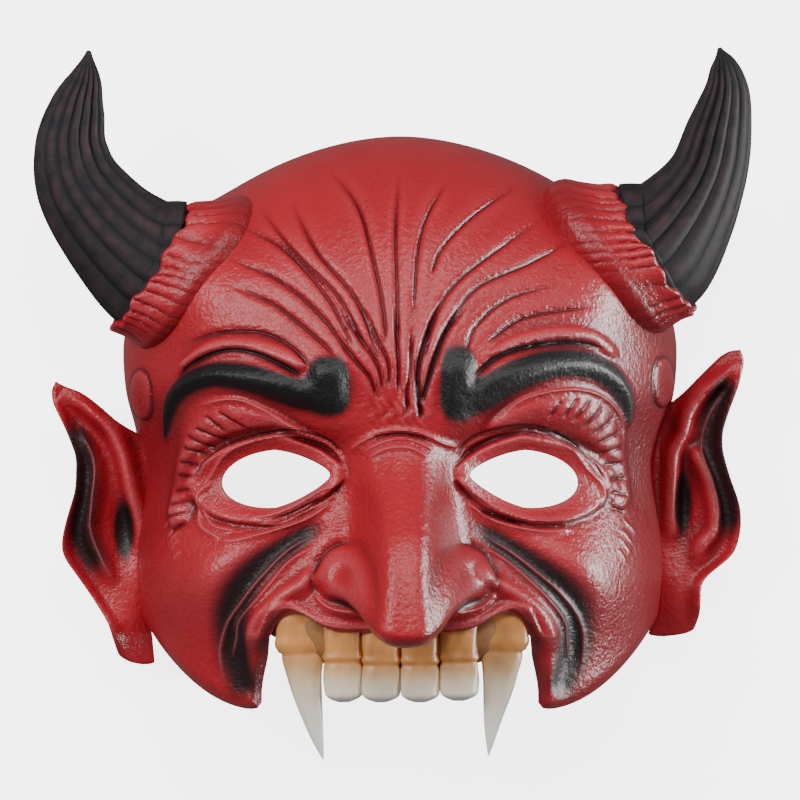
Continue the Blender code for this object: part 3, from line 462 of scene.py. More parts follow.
def skin_grid(rows_low, rows_high, columns, inner, wall=WALL):
    """One face of the wall as rows of points in plan units, from the chin up to the crown: each level
    is a half ellipse about the face's long axis, and the carving stands out along its normal. The
    nose is added over it and the free edges roll in. Returns the points, the height and the paint."""
    low = np.linspace(BOTTOM - 3, CROWN, rows_low)
    high = np.linspace(0, 1, rows_high)[1:]
    level = np.concatenate([low, CROWN + (TOP - CROWN) * np.sin(np.pi / 2 * (0.7 * high + 0.3 * high**2))])
    s = np.linspace(-1, 1, columns)
    y, turn = np.meshgrid(level, np.pi / 2 * (0.74 * s + 0.26 * s**3), indexing="ij")
    w, d = np.maximum(half_width(y), 1e-3), np.maximum(middle_depth(y), 1e-3)
    sine, cosine = np.sin(turn), np.cos(turn)
    r = (np.abs(sine / w) ** 2.15 + np.abs(cosine / d) ** 2.15) ** (-1 / 2.15)
    x, z = r * sine, r * cosine
    normal = np.stack([x / HALF_WIDTH**2, np.clip(y - CROWN, 0, None) / (TOP - CROWN) ** 2, z / DEPTH**2], -1)
    normal /= np.linalg.norm(normal, axis=-1, keepdims=True)
    fade = soft(z / 14)
    height, paint = broad_form(x, y) * fade, {}
    if not inner:
        fine, paint = carving(x, y)
        height = height + fine * fade
    roll = np.minimum(edge_roll(x, y), 0.5 * z) * soft((z - 6) / 26)
    skin = np.stack([x, y, z], -1) + normal * height[..., None]
    nose, droop = nose_form(x, y, wall if inner else 0.0)
    if inner:
        out = np.cross(np.gradient(skin, axis=0), np.gradient(skin, axis=1))
        out /= np.maximum(np.linalg.norm(out, axis=-1, keepdims=True), 1e-12)
        out[..., 2] -= 3 * soft(roll / 3) * soft((z - 18) / 20)
        out[:, (0, -1), 2] = 0
        out /= np.maximum(np.linalg.norm(out, axis=-1, keepdims=True), 1e-12)
        crown = skin[-1, 0, 1] - wall
        skin = skin + out * wall
        skin[-1] = (0, crown, 0)
    skin[..., 1] -= droop
    skin[..., 2] += nose - roll
    skin[:, (0, -1), 2] = 0
    return skin, height, paint


def grid_triangles(index, value=None):
    """Two triangles for each cell of a grid of vertex numbers, without the ones that a pole folds.
    Where a value is given for each vertex, a cell is split along its more level diagonal, so that the
    edges follow the carving's lines."""
    a, b = index[:-1, :-1].ravel(), index[:-1, 1:].ravel()
    c, d = index[1:, 1:].ravel(), index[1:, :-1].ravel()
    one, two = np.stack([a, b, c], 1), np.stack([a, c, d], 1)
    if value is not None:
        turned = np.abs(value[a] - value[c]) > np.abs(value[b] - value[d])
        one = np.where(turned[:, None], np.stack([a, b, d], 1), one)
        two = np.where(turned[:, None], np.stack([b, c, d], 1), two)
    faces = np.concatenate([one, two])
    keep = (faces[:, 0] != faces[:, 1]) & (faces[:, 1] != faces[:, 2]) & (faces[:, 0] != faces[:, 2])
    return faces[keep]


def mesh_object(name, points, faces, material, values=()):
    """A smooth closed mesh from plan points and triangles, facing outwards. values are named numbers,
    one to a point, that its material reads."""
    mesh = bpy.data.meshes.new(name)
    mesh.vertices.add(len(points))
    mesh.vertices.foreach_set("co", (np.asarray(points) * MM + SHIFT).astype(np.float32).ravel())
    mesh.loops.add(faces.size)
    mesh.loops.foreach_set("vertex_index", faces.astype(np.int32).ravel())
    mesh.polygons.add(len(faces))
    mesh.polygons.foreach_set("loop_start", np.arange(0, faces.size, 3, dtype=np.int32))
    mesh.update(calc_edges=True)
    for label, value in values:
        layer = mesh.attributes.new(label, "FLOAT", "POINT")
        layer.data.foreach_set("value", value.ravel().astype(np.float32))
    form = bmesh.new()
    form.from_mesh(mesh)
    bmesh.ops.delete(form, geom=[v for v in form.verts if not v.link_faces], context="VERTS")
    bmesh.ops.recalc_face_normals(form, faces=form.faces)
    if form.calc_volume(signed=True) < 0:
        bmesh.ops.reverse_faces(form, faces=form.faces)
    form.to_mesh(mesh)
    form.free()
    mesh.materials.append(material)
    mesh.shade_smooth()
    thing = bpy.data.objects.new(name, mesh)
    bpy.context.scene.collection.objects.link(thing)
    return thing


def close_skin(skin, below, value=None):
    """The faces that close a skin into a solid: each row runs on across a step below the floor, and
    the lowest row is filled by a fan. Returns points and triangles."""
    rows, across = skin.shape[:2]
    foot = skin[:, (-1, 0)].copy()
    foot[..., 2] = -below
    if below:
        skin = np.concatenate([skin, foot], axis=1)
    columns = skin.shape[1]
    index = np.arange(rows * columns).reshape(rows, columns)
    index[-1, :across] = index[-1, 0]
    index[-1, across:] = index[-1, -1]
    index = np.concatenate([index, index[:, :1]], axis=1)
    middle = skin[0].mean(axis=0)
    middle[2] = skin[0, :, 2].max() * 0.3
    fan = np.stack([index[0, 1:], index[0, :-1], np.full(columns, rows * columns)], 1)
    points = np.concatenate([skin.reshape(-1, 3), middle[None]])
    return points, np.concatenate([grid_triangles(index, value), fan])


def prism(name, outline, low, high, material):
    """A closed upright block over an outline in the plan: a fan below, a fan above, a wall between."""
    flat = np.array(outline, dtype=float)
    count = len(flat)
    rings = [np.column_stack([flat, np.full(count, z)]) for z in (low, high)]
    points = np.concatenate(rings + [[[*flat.mean(axis=0), low]], [[*flat.mean(axis=0), high]]])
    here, there = np.arange(count), np.roll(np.arange(count), -1)
    wall = np.concatenate([np.stack([here, there, there + count], 1),
                           np.stack([here, there + count, here + count], 1)])
    floor = np.stack([there, here, np.full(count, 2 * count)], 1)
    lid = np.stack([here + count, there + count, np.full(count, 2 * count + 1)], 1)
    return mesh_object(name, points, np.concatenate([wall, floor, lid]), material)


def eye_outline(sign):
    """The almond of one eye hole: along each of many rays, the place where the measure of the eye is
    nought."""
    turn = np.linspace(0, 2 * np.pi, 96, endpoint=False)[:, None]
    reach = np.linspace(2, 30, 1200)[None, :]
    x = EYE_SPACING / 2 + reach * np.cos(turn)
    y = EYE_LEVEL + reach * np.sin(turn)
    first = np.argmax(eye_measure(x, y) > 0, axis=1)
    rays = np.arange(len(first))
    return np.stack([sign * x[rays, first], y[rays, first]], 1)


def mouth_outline():
    """All that lies below the face: under the lip, between the cheeks and under the chin edge, but for
    a notch that spares the nose's tip where it hangs over the lip."""
    x = np.linspace(125, 53, 40)
    side = np.stack([x, chin_edge(x)], 1)
    y = np.linspace(-106.5, -90, 10)
    side = np.vstack([side, [(51, -108.4)], np.stack([cheek_end(y), y], 1)])
    x = np.linspace(46.2, 0.5, 50)
    side = np.vstack([side, np.stack([x, np.where(x < NOSE_TIP_HALF, NOTCH_LEVEL, lip_edge(x))], 1)])
    return np.vstack([side, side[::-1] * (-1, 1), [(-125, -150), (0, -230), (125, -150)]])


def cut(target, tool):
    """Takes a closed tool out of a closed target for good, and removes the tool."""
    step = target.modifiers.new("cut", "BOOLEAN")
    step.operation = "DIFFERENCE"
    step.solver = "EXACT"
    step.material_mode = "TRANSFER"
    step.object = tool
    solid = bpy.data.meshes.new_from_object(target.evaluated_get(bpy.context.evaluated_depsgraph_get()))
    target.modifiers.clear()
    old = target.data
    target.data = solid
    bpy.data.meshes.remove(old)
    bpy.data.objects.remove(tool)


def node(tree, kind, inputs=None, **settings):
    """Adds a node; inputs are constants or output sockets to link, by the name or number of theirs."""
    made = tree.nodes.new(kind)
    for key, value in settings.items():
        setattr(made, key, value)
    for key, value in (inputs or {}).items():
        if isinstance(value, bpy.types.NodeSocket):
            tree.links.new(value, made.inputs[key])
        else:
            made.inputs[key].default_value = value
    return made


def paint_material(name, colour, rough):
    """A material with its tree, its shader and its object coordinates."""
    material = bpy.data.materials.new(name)
    material.use_nodes = True
    tree = material.node_tree
    shader = tree.nodes["Principled BSDF"]
    shader.inputs["Base Color"].default_value = (*colour, 1)
    shader.inputs["Roughness"].default_value = rough
    material.diffuse_color = (*colour, 1)
    place = node(tree, "ShaderNodeTexCoord").outputs["Object"]
    return material, tree, shader, place


def mix(tree, share, first, second):
    """Blends two colours by a share."""
    return node(tree, "ShaderNodeMix", {0: share, 6: first, 7: second}, data_type="RGBA").outputs[2]


def maths(tree, how, first, second=0.0, clamped=False):
    """One step of arithmetic between two numbers, kept between nought and one where clamped."""
    return node(tree, "ShaderNodeMath", {0: first, 1: second}, operation=how, use_clamp=clamped).outputs[0]


def noise(tree, place, scale, detail):
    """A cloudy pattern over the object's coordinates: fractal noise, from nought to one."""
    made = node(tree, "ShaderNodeTexNoise", {"Vector": place, "Scale": scale, "Detail": detail})
    return made.outputs["Fac"]


def ramp(tree, value, low, high, first=0.0, last=1.0):
    """A straight run from first, where the value is low, to last, where it is high, flat outside."""
    ends = {"Value": value, "From Min": low, "From Max": high, "To Min": first, "To Max": last}
    return node(tree, "ShaderNodeMapRange", ends).outputs["Result"]


def roughen(tree, height, strength, distance, under=None):
    """A bump in the surface by a height, laid over another bump where one is given."""
    ends = {"Height": height, "Strength": strength, "Distance": distance}
    if under is not None:
        ends["Normal"] = under
    return node(tree, "ShaderNodeBump", ends).outputs["Normal"]


RED = (0.42, 0.0140, 0.0240)
DARK_RED = (0.080, 0.006, 0.009)
PALE_RED = (0.60, 0.12, 0.14)
BLACK = (0.0045, 0.0045, 0.0055)
# near-black red laid along the fine cut lines as painted shade
CREASE_SHADE = (0.022, 0.002, 0.003)


def skin_material(name, colour, dark, pale):
    """Satin paint over porous foam: painted shade in the carving's hollows, a painted highlight with chalky
    dust on its ridges, black where the airbrush went, with fine cut and raised lines (painted shade along the
    cut ones, a painted highlight along the raised ones), pores and crinkles in its surface."""
    material, tree, shader, place = paint_material(name, colour, 0.36)
    black, relief, line, mark = (node(tree, "ShaderNodeAttribute", attribute_name=label).outputs["Fac"]
                                 for label in ("black", "relief", "line", "mark"))
    blotch = noise(tree, place, 60.0, 4.0)
    fine = noise(tree, place, 900.0, 5.0)
    speck = node(tree, "ShaderNodeTexVoronoi", {"Vector": place, "Scale": 620.0}).outputs["Distance"]
    # a bell across each fine line, 0.5 mm to either side
    square = maths(tree, "POWER", maths(tree, "ABSOLUTE", line), 2.0)
    bell = maths(tree, "EXPONENT", maths(tree, "MULTIPLY", square, -4.0))
    cut_line = maths(tree, "MULTIPLY", bell, maths(tree, "MAXIMUM", mark, 0.0), True)
    raised_mark = maths(tree, "MULTIPLY", maths(tree, "MINIMUM", mark, 0.0), -1.0)
    raised_line = maths(tree, "MULTIPLY", bell, raised_mark, True)
    # painted shade: the hollows of the carving darken by how far they sink below their surroundings
    hollow = maths(tree, "SUBTRACT", 0.0, relief, True)
    # painted highlight with chalky dust: the ridges turn pale red by how far they stand over their
    # surroundings
    raised = maths(tree, "MULTIPLY", relief, fine, True)
    hue = mix(tree, maths(tree, "MULTIPLY", blotch, 0.22), (*colour, 1), (*dark, 1))
    hue = mix(tree, hollow, hue, (*dark, 1))
    hue = mix(tree, raised, hue, (*pale, 1))
    pores = maths(tree, "MULTIPLY", ramp(tree, speck, 0.20, 0.08), ramp(tree, blotch, 0.48, 0.62), True)
    hue = mix(tree, pores, hue, (*dark, 1))
    hue = mix(tree, black, hue, (*BLACK, 1))
    # painted shade along the fine cut lines
    hue = mix(tree, maths(tree, "MULTIPLY", cut_line, 0.9), hue, (*CREASE_SHADE, 1))
    # painted highlight along the fine raised lines
    hue = mix(tree, maths(tree, "MULTIPLY", raised_line, 0.45), hue, (*pale, 1))
    tree.links.new(hue, shader.inputs["Base Color"])
    rough = maths(tree, "ADD", ramp(tree, blotch, 0.0, 1.0, 0.26, 0.40), maths(tree, "MULTIPLY", black, 0.16))
    tree.links.new(rough, shader.inputs["Roughness"])
    shader.inputs["Specular IOR Level"].default_value = 0.38
    crinkled = roughen(tree, noise(tree, place, 420.0, 3.0), 0.6, 0.0007)
    grained = roughen(tree, fine, 0.7, 0.0004, crinkled)
    lines = maths(tree, "SUBTRACT", raised_line, cut_line)
    tree.links.new(roughen(tree, lines, 0.8, 0.0006, grained), shader.inputs["Normal"])
    return material


def relief_of(height, reach):
    """How far the carving stands over its surroundings: the height less its mean over a square."""
    mean = height.copy()
    for axis in (0, 1):
        padded = np.concatenate([np.repeat(mean.take([0], axis), reach, axis), mean,
                                 np.repeat(mean.take([-1], axis), reach, axis)], axis)
        total = np.cumsum(np.concatenate([np.zeros_like(padded.take([0], axis)), padded], axis), axis)
        size = mean.shape[axis]
        side = 2 * reach + 1
        mean = (total.take(range(side, side + size), axis) - total.take(range(size), axis)) / side
    return height - mean


def hollow_tool(wall, material):
    """The space behind the face as a closed tool, one wall's thickness inside it, run down through
    the floor."""
    space = skin_grid(76, 36, 64, True, wall)[0]
    space = np.concatenate([space[:1] - (0, 10, 0), space])
    points, faces = close_skin(space, 10.0)
    return mesh_object("hollow", points, faces, material)


skin_red = skin_material("devil_red", RED, DARK_RED, PALE_RED)
foam, tree, shader, place = paint_material("foam_inside", (0.20, 0.13, 0.10), 0.8)
cells = noise(tree, place, 500.0, 6.0)
tree.links.new(roughen(tree, cells, 0.5, 0.0008), shader.inputs["Normal"])
foam_hue = mix(tree, cells, (0.20, 0.12, 0.09, 1), (0.10, 0.055, 0.045, 1))
tree.links.new(foam_hue, shader.inputs["Base Color"])

outer, outer_height, paint = skin_grid(SKIN_ROWS_LOW, SKIN_ROWS_HIGH, SKIN_COLUMNS, False)
# the relief darkens the hollows as painted shade and pales the ridges as a painted highlight with chalky dust
paint["relief"] = np.clip(relief_of(outer_height, 5) * 0.75, -0.8, 0.8)
points, faces = close_skin(outer, 0.0, outer_height.ravel())
face = mesh_object("face", points, faces, skin_red, [(k, np.append(v.ravel(), 0)) for k, v in paint.items()])
cut(face, prism("mouth", mouth_outline(), CUT_LOW, CUT_HIGH, skin_red))
reach, foot = NOSE_TIP_HALF + 1.3, NOTCH_LEVEL - 2
notch = [(-reach, foot), (reach, foot), (reach, LIP_LEVEL), (-reach, LIP_LEVEL)]
cut(face, prism("under_nose", notch, CUT_LOW, UNDER_NOSE_TOP, skin_red))
cut(face, hollow_tool(WALL, foam))
for sign in (-1, 1):
    cut(face, prism("eye", eye_outline(sign), CUT_LOW, CUT_HIGH, skin_red))
face.data.set_sharp_from_angle(angle=np.radians(48))
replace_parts(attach(face, "root"), "mask")


# The cuffs: collars of the same skin, gathered in fine pleats round the root of each horn. They are
# cast with the face and run into the forehead; they stand a little proud of the horn.

HORN_ROOTS = {-1: (-88.9, 50.2, 41.0), 1: (91.2, 56.2, 41.0)}
CUFF_WIDTH, HORN_ROOT_RADIUS = 12.0, 24.5
# How thick the face is left where a cuff, horn or ear ends inside it
SHARED_WALL = 1.6
CUFF_RINGS, CUFF_SIDES = 70, 540


def cuff_points(sign):
    """Rings from inside the cuff's mouth, over its lip and down its flare into the forehead; each ring
    is a circle whose radius carries the pleats, deeper at the lip."""
    axis = np.array([sign * 0.83, 0.53, 0.16])
    axis /= np.linalg.norm(axis)
    across = np.cross(axis, (0, 0, 1.0))
    across /= np.linalg.norm(across)
    up = np.cross(across, axis)
    knots = np.array([0.45, 0.1, -0.02, -0.1, -0.09, -0.02, 0.12, 0.4, 0.8, 1.15, 1.6, 2.1])
    swells = np.array([-6.0, -1.8, -0.2, 1.2, 2.6, 3.4, 3.8, 4.6, 6.6, 8.5, 7.6, 3.0])
    place, swell = smooth_path(np.stack([knots, swells], 1), CUFF_RINGS).T
    turn = np.linspace(0, 2 * np.pi, CUFF_SIDES, endpoint=False)[None, :]
    depth = soft((swell + 4) / 6)[:, None] * (1 - 0.75 * soft((place - 0.3) / 0.9))[:, None]
    wander = 1.9 * np.sin(3 * turn + 1) + 0.9 * np.sin(7 * turn) + 0.7 * place[:, None]
    gather = np.abs(np.sin(turn * 17 + wander)) ** 0.6 * (0.75 + 0.25 * np.sin(5 * turn + 2 * sign))
    ragged = 0.8 * np.sin(7 * turn + sign) + 0.6 * np.sin(17 * turn + 2 * sign)
    rings = HORN_ROOT_RADIUS + swell[:, None] + depth * (1.5 * gather - 0.9)
    inwards = np.array([sign * 0.98, 0.14, 0.16]) * CUFF_WIDTH
    centre = np.array(HORN_ROOTS[sign]) - inwards * place[:, None, None]
    slip = (ragged * soft((0.3 - place) / 0.3)[:, None])[..., None] * axis
    wide, tall = rings * np.sin(turn), rings * 0.9 * np.cos(turn)
    return centre + slip + across * wide[..., None] + up * tall[..., None], gather * depth


def close_rings(rings):
    """The triangles of a tube of rings whose two ends are filled by fans, and its points."""
    rows, columns = rings.shape[:2]
    points = np.concatenate([rings.reshape(-1, 3), rings[:1].mean(axis=1), rings[-1:].mean(axis=1)])
    index = np.arange(rows * columns).reshape(rows, columns)
    index = np.concatenate([index, index[:, :1]], axis=1)
    start = np.stack([index[0, 1:], index[0, :-1], np.full(columns, rows * columns)], 1)
    end = np.stack([index[-1, :-1], index[-1, 1:], np.full(columns, rows * columns + 1)], 1)
    return points, np.concatenate([grid_triangles(index), start, end])


for sign, side in ((-1, "left"), (1, "right")):
    rings, gather = cuff_points(sign)
    points, faces = close_rings(rings)
    # through the relief, the pleats' troughs take painted shade and their crests a painted highlight
    shade = np.append((gather - 0.55).ravel(), (0, 0))
    cuff = mesh_object("cuff_" + side, points, faces, skin_red, (("relief", shade), ("black", 0 * shade)))
    cut(cuff, hollow_tool(SHARED_WALL, skin_red))
    cuff.data.set_sharp_from_angle(angle=np.radians(60))
    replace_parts(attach(cuff, "root"), "mask")


# The horns: foam through and through, cast with the face, matt charcoal paint over long uneven
# flutes that run from the cuff to the point, a little red rubbed along their ridges.

# Each horn: headings in degrees, the length run at each, shares of the way and the radius at each
HORNS = {
    -1: ((41, 54.5, 77, 99, 105, 98), (20.4, 18.6, 14.8, 13.9, 11.2, 10.1),
         (0, 0.23, 0.44, 0.6, 0.76, 0.886, 1), (24.4, 19.0, 16.0, 13.0, 10.0, 6.0, 0.4)),
    1: ((48, 60, 75, 79, 94, 105), (16.1, 17.1, 16.4, 13.6, 10.1, 6.7),
        (0, 0.2, 0.415, 0.62, 0.79, 0.916, 1), (25.0, 19.3, 14.0, 11.7, 8.3, 5.0, 0.4)),
}
BURIED = 9.0
HORN_RISE = 9
HORN_RINGS, HORN_SIDES = 200, 360


def sides_of(path):
    """The directions across and upwards at each place of a path, both square to its course."""
    tangent = np.gradient(path, axis=0)
    tangent /= np.linalg.norm(tangent, axis=1, keepdims=True)
    across = np.cross(tangent, (0, 0, 1.0))
    across /= np.linalg.norm(across, axis=1, keepdims=True)
    return across, np.cross(across, tangent)


def horn_points(sign):
    """Rings along a path whose heading turns in a few steps: circles that carry uneven flutes, and
    taper to a point. Returns the rings and the height of the flutes."""
    headings, lengths, shares, radii = HORNS[sign]
    a = np.radians(headings)
    stops = np.vstack([[0, 0], np.cumsum(np.stack([np.cos(a) * lengths, np.sin(a) * lengths], 1), axis=0)])
    back = -np.array([0.98, 0.14]) * BURIED
    flat = smooth_path(np.vstack([back, stops]), HORN_RINGS)
    run = np.concatenate([[0], np.cumsum(np.linalg.norm(np.diff(flat, axis=0), axis=1))])
    share = np.clip((run - BURIED) / (run[-1] - BURIED), 0, 1)
    rise = HORN_RISE * np.sin(share * np.pi / 2)
    path = np.array(HORN_ROOTS[sign]) + np.stack([sign * flat[:, 0], flat[:, 1], rise], 1)
    across, up = sides_of(path)
    taper = np.interp(share, shares, radii)
    taper = np.convolve(np.pad(taper, 9, "edge"), np.ones(19) / 19, "valid")
    taper[-1] = 0.3
    turn = np.linspace(0, 2 * np.pi, HORN_SIDES, endpoint=False)[None, :]
    wave = turn * 15 + 1.4 * np.sin(2 * turn + sign) + 1.0 * np.sin(3 * turn) + 1.5 * share[:, None]
    flute = np.abs(np.sin(wave / 2)) ** 0.6
    deep = 2.0 * soft(taper / 10)[:, None] * (0.85 + 0.3 * np.sin(3 * turn + 2 * sign + 2 * share[:, None]))
    rings = taper[:, None] + deep * (flute - 0.7)
    shape = (path[:, None] + across[:, None] * (rings * np.sin(turn))[..., None]
             + up[:, None] * (rings * 0.94 * np.cos(turn))[..., None])
    return shape, flute


horn_black, tree, shader, place = paint_material("horn_black", (0.022, 0.022, 0.025), 0.62)
shader.inputs["Specular IOR Level"].default_value = 0.12
streak = noise(tree, place, 180.0, 6.0)
worn = node(tree, "ShaderNodeAttribute", attribute_name="flute").outputs["Fac"]
rubbed = maths(tree, "MULTIPLY", maths(tree, "MULTIPLY", worn, worn), maths(tree, "SUBTRACT", streak, 0.34))
horn_hue = mix(tree, rubbed, (0.016, 0.016, 0.019, 1), (0.11, 0.05, 0.05, 1))
tree.links.new(horn_hue, shader.inputs["Base Color"])
tree.links.new(roughen(tree, streak, 0.5, 0.0006), shader.inputs["Normal"])
for sign, side in ((-1, "left"), (1, "right")):
    rings, flute = horn_points(sign)
    points, faces = close_rings(rings)
    flute = np.append(flute.ravel(), (0, 0))
    horn = mesh_object("horn_" + side, points, faces, horn_black, (("flute", flute),))
    cut(horn, hollow_tool(SHARED_WALL, horn_black))
    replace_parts(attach(horn, "root"), "mask")


# The ears: pointed goblin ears cast with the face, about 4 mm thick, their cup and the furrow behind
# the outer rim airbrushed black.

EAR_ROWS, EAR_COLUMNS, EAR_THICKNESS = 150, 90, 4.2
# Each ear: its free edge and the edge inside the face, each as height and distance to the side
EAR_EDGES = {
    -1: (((8.5, -126.2), (5.5, -127.7), (1.1, -127.3), (-4, -124.8), (-10.3, -121.8), (-15.1, -120),
          (-19.1, -118.5), (-31.3, -118.9), (-37.9, -121.1), (-43.8, -122.9), (-50.4, -124.4),
          (-55.6, -124), (-61.1, -120), (-67, -115.9), (-72.9, -111.9), (-80.6, -107.1), (-86.1, -105.6),
          (-92.7, -103.8), (-95.3, -99.4), (-96, -95)),
         ((8.5, -126.2), (6.6, -122.9), (5.2, -118.1), (2.2, -113.7), (-1.5, -109.3), (-6.6, -103.8),
          (-10, -98), (-14, -90), (-22, -85), (-74, -81), (-86, -79), (-91.5, -82.5), (-94.5, -87.5),
          (-96, -93))),
    1: (((20.2, 124.8), (16.6, 126.2), (11.4, 125.1), (7, 124), (2.2, 122.2), (-2.9, 120.3), (-9.9, 118.1),
         (-16.6, 118.1), (-22.1, 119.6), (-28, 121.4), (-34.6, 124), (-39.7, 125.1), (-46.4, 125.1),
         (-54.8, 123), (-60, 116.7), (-62.9, 112.6), (-65.5, 110.8), (-77.3, 110.4), (-83.5, 108.5),
         (-85, 103.4), (-85.6, 97)),
        ((20.2, 124.8), (20, 121.4), (18, 117.8), (13.6, 113.3), (8.8, 108.6), (4.4, 104.5), (0, 99),
         (-5, 91), (-12, 86), (-66, 82), (-77, 80), (-81.5, 83.5), (-84.4, 89), (-85.6, 95))),
}
# The ridge along its front edge, the ridge behind the cup, the black furrow with its half width, the
# thin raised line in that furrow, and the cup
EAR_FRONT = {
    -1: [(-124, 5.5), (-117.4, 1.5), (-111.9, -3.3), (-106, -9.6), (-102.3, -16.6), (-100.1, -24.7),
         (-98.3, -34.2), (-96, -45.6), (-96.4, -58.5)],
    1: [(124, 17), (118.5, 11.4), (110.8, 4.4), (106, -2.9), (104.1, -9.9), (100.8, -18), (100.5, -28.7),
        (100.5, -44.2), (102.3, -50.4)],
}
EAR_INNER = {
    -1: [(-121, -5.2), (-115.2, -14), (-112.2, -21), (-111.9, -28.3), (-113, -37.9), (-114.1, -43.8),
         (-113.3, -49.7), (-110, -56.7), (-107.5, -61.8), (-104.5, -67)],
    1: [(107.1, -13.6), (110, -21), (113.3, -28.7), (115.6, -39.4), (114.8, -46.4), (110.8, -51.9),
        (107.5, -60.4)],
}
EAR_BLACK = {
    -1: [(-121.9, -2.6, 2.1), (-117.4, -14.4, 4.6), (-115.2, -25, 4.4), (-115.6, -35.7, 4.4),
         (-117, -46, 4.8), (-113.5, -55.2, 4.6), (-107.8, -65.9, 3.6)],
    1: [(122.5, 13, 1.8), (118.5, 5, 4.0), (115.5, -4, 4.8), (114.5, -14, 4.8), (117, -24, 4.4),
        (120, -34, 4.2), (120.5, -43, 3.6), (117.5, -52, 2.4)],
}
EAR_THREAD = {
    -1: [(-117.8, -8.1), (-112, -20.8), (-113.1, -35.6), (-113.5, -46), (-109.3, -57.4), (-104.3, -66.6)],
    1: [(119.5, 6), (113, -5), (110.8, -16), (114.6, -28), (116.8, -39), (114.5, -49)],
}
EAR_CUP = {-1: (-101.8, -46, 4.2, 12.5), 1: (104.0, -36, 3.6, 13)}


def ear_skins(sign):
    """Front and back of an ear as rows at even heights, each from the face out to the free edge:
    rims, cup and inner ridge are raised lines on the front, the back is plain."""
    outer, inner = (np.array(edge) for edge in EAR_EDGES[sign])
    top, bottom = outer[0, 0], outer[-1, 0]
    t = np.linspace(0, 1, EAR_ROWS)
    level = top + (bottom - top) * (0.5 - 0.5 * np.cos(np.pi * t))
    far = np.interp(-level, -outer[:, 0], outer[:, 1])
    close = np.interp(-level, -inner[:, 0], inner[:, 1])
    for _ in range(2):
        far = np.convolve(np.pad(far, 2, "edge"), np.ones(5) / 5, "valid")
        close = np.convolve(np.pad(close, 2, "edge"), np.ones(5) / 5, "valid")
    u = 0.5 - 0.5 * np.cos(np.pi * np.linspace(0, 1, EAR_COLUMNS))[None, :]
    x = close[:, None] + (far - close)[:, None] * u
    y = np.repeat(level[:, None], EAR_COLUMNS, axis=1)
    out = np.clip((sign * x - 92) / 34, -0.3, 1)
    base = 15 + 8 * out * soft((y + 70) / 50) - 4 * soft((-60 - y) / 30)
    rim = np.abs(x - far[:, None])
    lift = 5.2 * np.exp(-((rim / 3.0) ** 2)) * soft((y - bottom) / 14)
    lift = lift + ridge(x, y, EAR_FRONT[sign], 6.5, 3.2, 0.02, 0.25)
    lift = lift + ridge(x, y, EAR_INNER[sign], 4.2, 2.6, 0.12, 0.2)
    cup = EAR_CUP[sign]
    lift = lift - 4.0 * bump(x, y, cup[0], cup[1], cup[2] * 1.2, cup[3])
    lobe = bump(x, y, sign * 103, bottom + 13, 9, 15)
    lift = lift + 5 * lobe + 6 * soft((sign * 96 - sign * x) / 8) * soft((y + 62) / 10)
    point = soft((top - level) / 15)[:, None]
    lift = 2.4 * (1 - point) + lift * point
    paint = {"line": np.full_like(x, 9.0), "mark": np.zeros_like(x)}
    scribe(paint, x, y, EAR_THREAD[sign], -0.9)
    near, strength, width = stroke(x, y, EAR_BLACK[sign], 12, 0.12, 0.15)
    black = 0.95 * strength * soft((1.5 - np.abs(near) / width) / 0.9)
    black = np.maximum(black, 0.97 * soft((bump(x, y, *cup) - 0.25) / 0.4))
    edge = np.minimum(np.minimum(u, 1 - u) * 8, (np.minimum(t, 1 - t) * 14)[:, None])
    thick = EAR_THICKNESS * (0.3 + 0.7 * np.sqrt(np.clip(edge, 0, 1)))
    front = np.stack([x, y, base + lift + thick / 2], -1)
    back = np.stack([x, y, base - thick / 2 + 0.25 * lift], -1)
    paint["black"] = black
    # the relief darkens the ear's hollows as painted shade and pales its ridges as a painted highlight with
    # chalky dust
    paint["relief"] = np.clip(relief_of(lift, 5) * 0.6, -0.8, 0.7)
    return front, back, paint


for sign, side in ((-1, "left"), (1, "right")):
    front, back, paint = ear_skins(sign)
    rings = np.concatenate([front, back[:, ::-1]], axis=1)
    points, faces = close_rings(rings)
    values = [(k, np.append(np.concatenate([v, 0 * v], axis=1).ravel(), (0, 0))) for k, v in paint.items()]
    ear = mesh_object("ear_" + side, points, faces, skin_red, values)
    cut(ear, hollow_tool(SHARED_WALL, skin_red))
    ear.data.set_sharp_from_angle(angle=np.radians(70))
    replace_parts(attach(ear, "root"), "mask")


# The gum and teeth: cast with the face behind the upper lip, amber gum and bulging roots, four blunt
# ivory front teeth and a long curved fang on each side.

# Each tooth: its middle line from the root down, its width, and one for a fang or nought
TEETH = (
    (((-35.5, -71), (-34.8, -84), (-33.6, -98), (-30.5, -113), (-27.2, -126)), 17.6, 1.0),
    (((-20.2, -75), (-20.1, -90), (-19.8, -105)), 13.8, 0.0),
    (((-6.8, -77), (-6.8, -91), (-6.8, -105)), 13.9, 0.0),
    (((7.0, -77), (7.0, -91), (7.1, -105)), 13.9, 0.0),
    (((20.7, -75), (20.8, -90), (20.9, -104.5)), 13.8, 0.0),
    (((36.4, -70), (36.2, -83), (35.2, -97), (33.0, -111), (31.4, -124.5)), 17.8, 1.0),
)
TOOTH_DEPTH, TOOTH_RINGS, TOOTH_SIDES = 9.2, 70, 64
GUM_RADIUS, GUM_HALF_LENGTH, GUM_RINGS, GUM_SIDES = 6.0, 44.5, 160, 40


def plain_height(x, y):
    """Height of the plain face above the rim."""
    w, d = half_width(y), middle_depth(y)
    return np.clip(1 - np.abs(x / w) ** 2.15, 0, 1) ** (1 / 2.15) * d + broad_form(x, y)


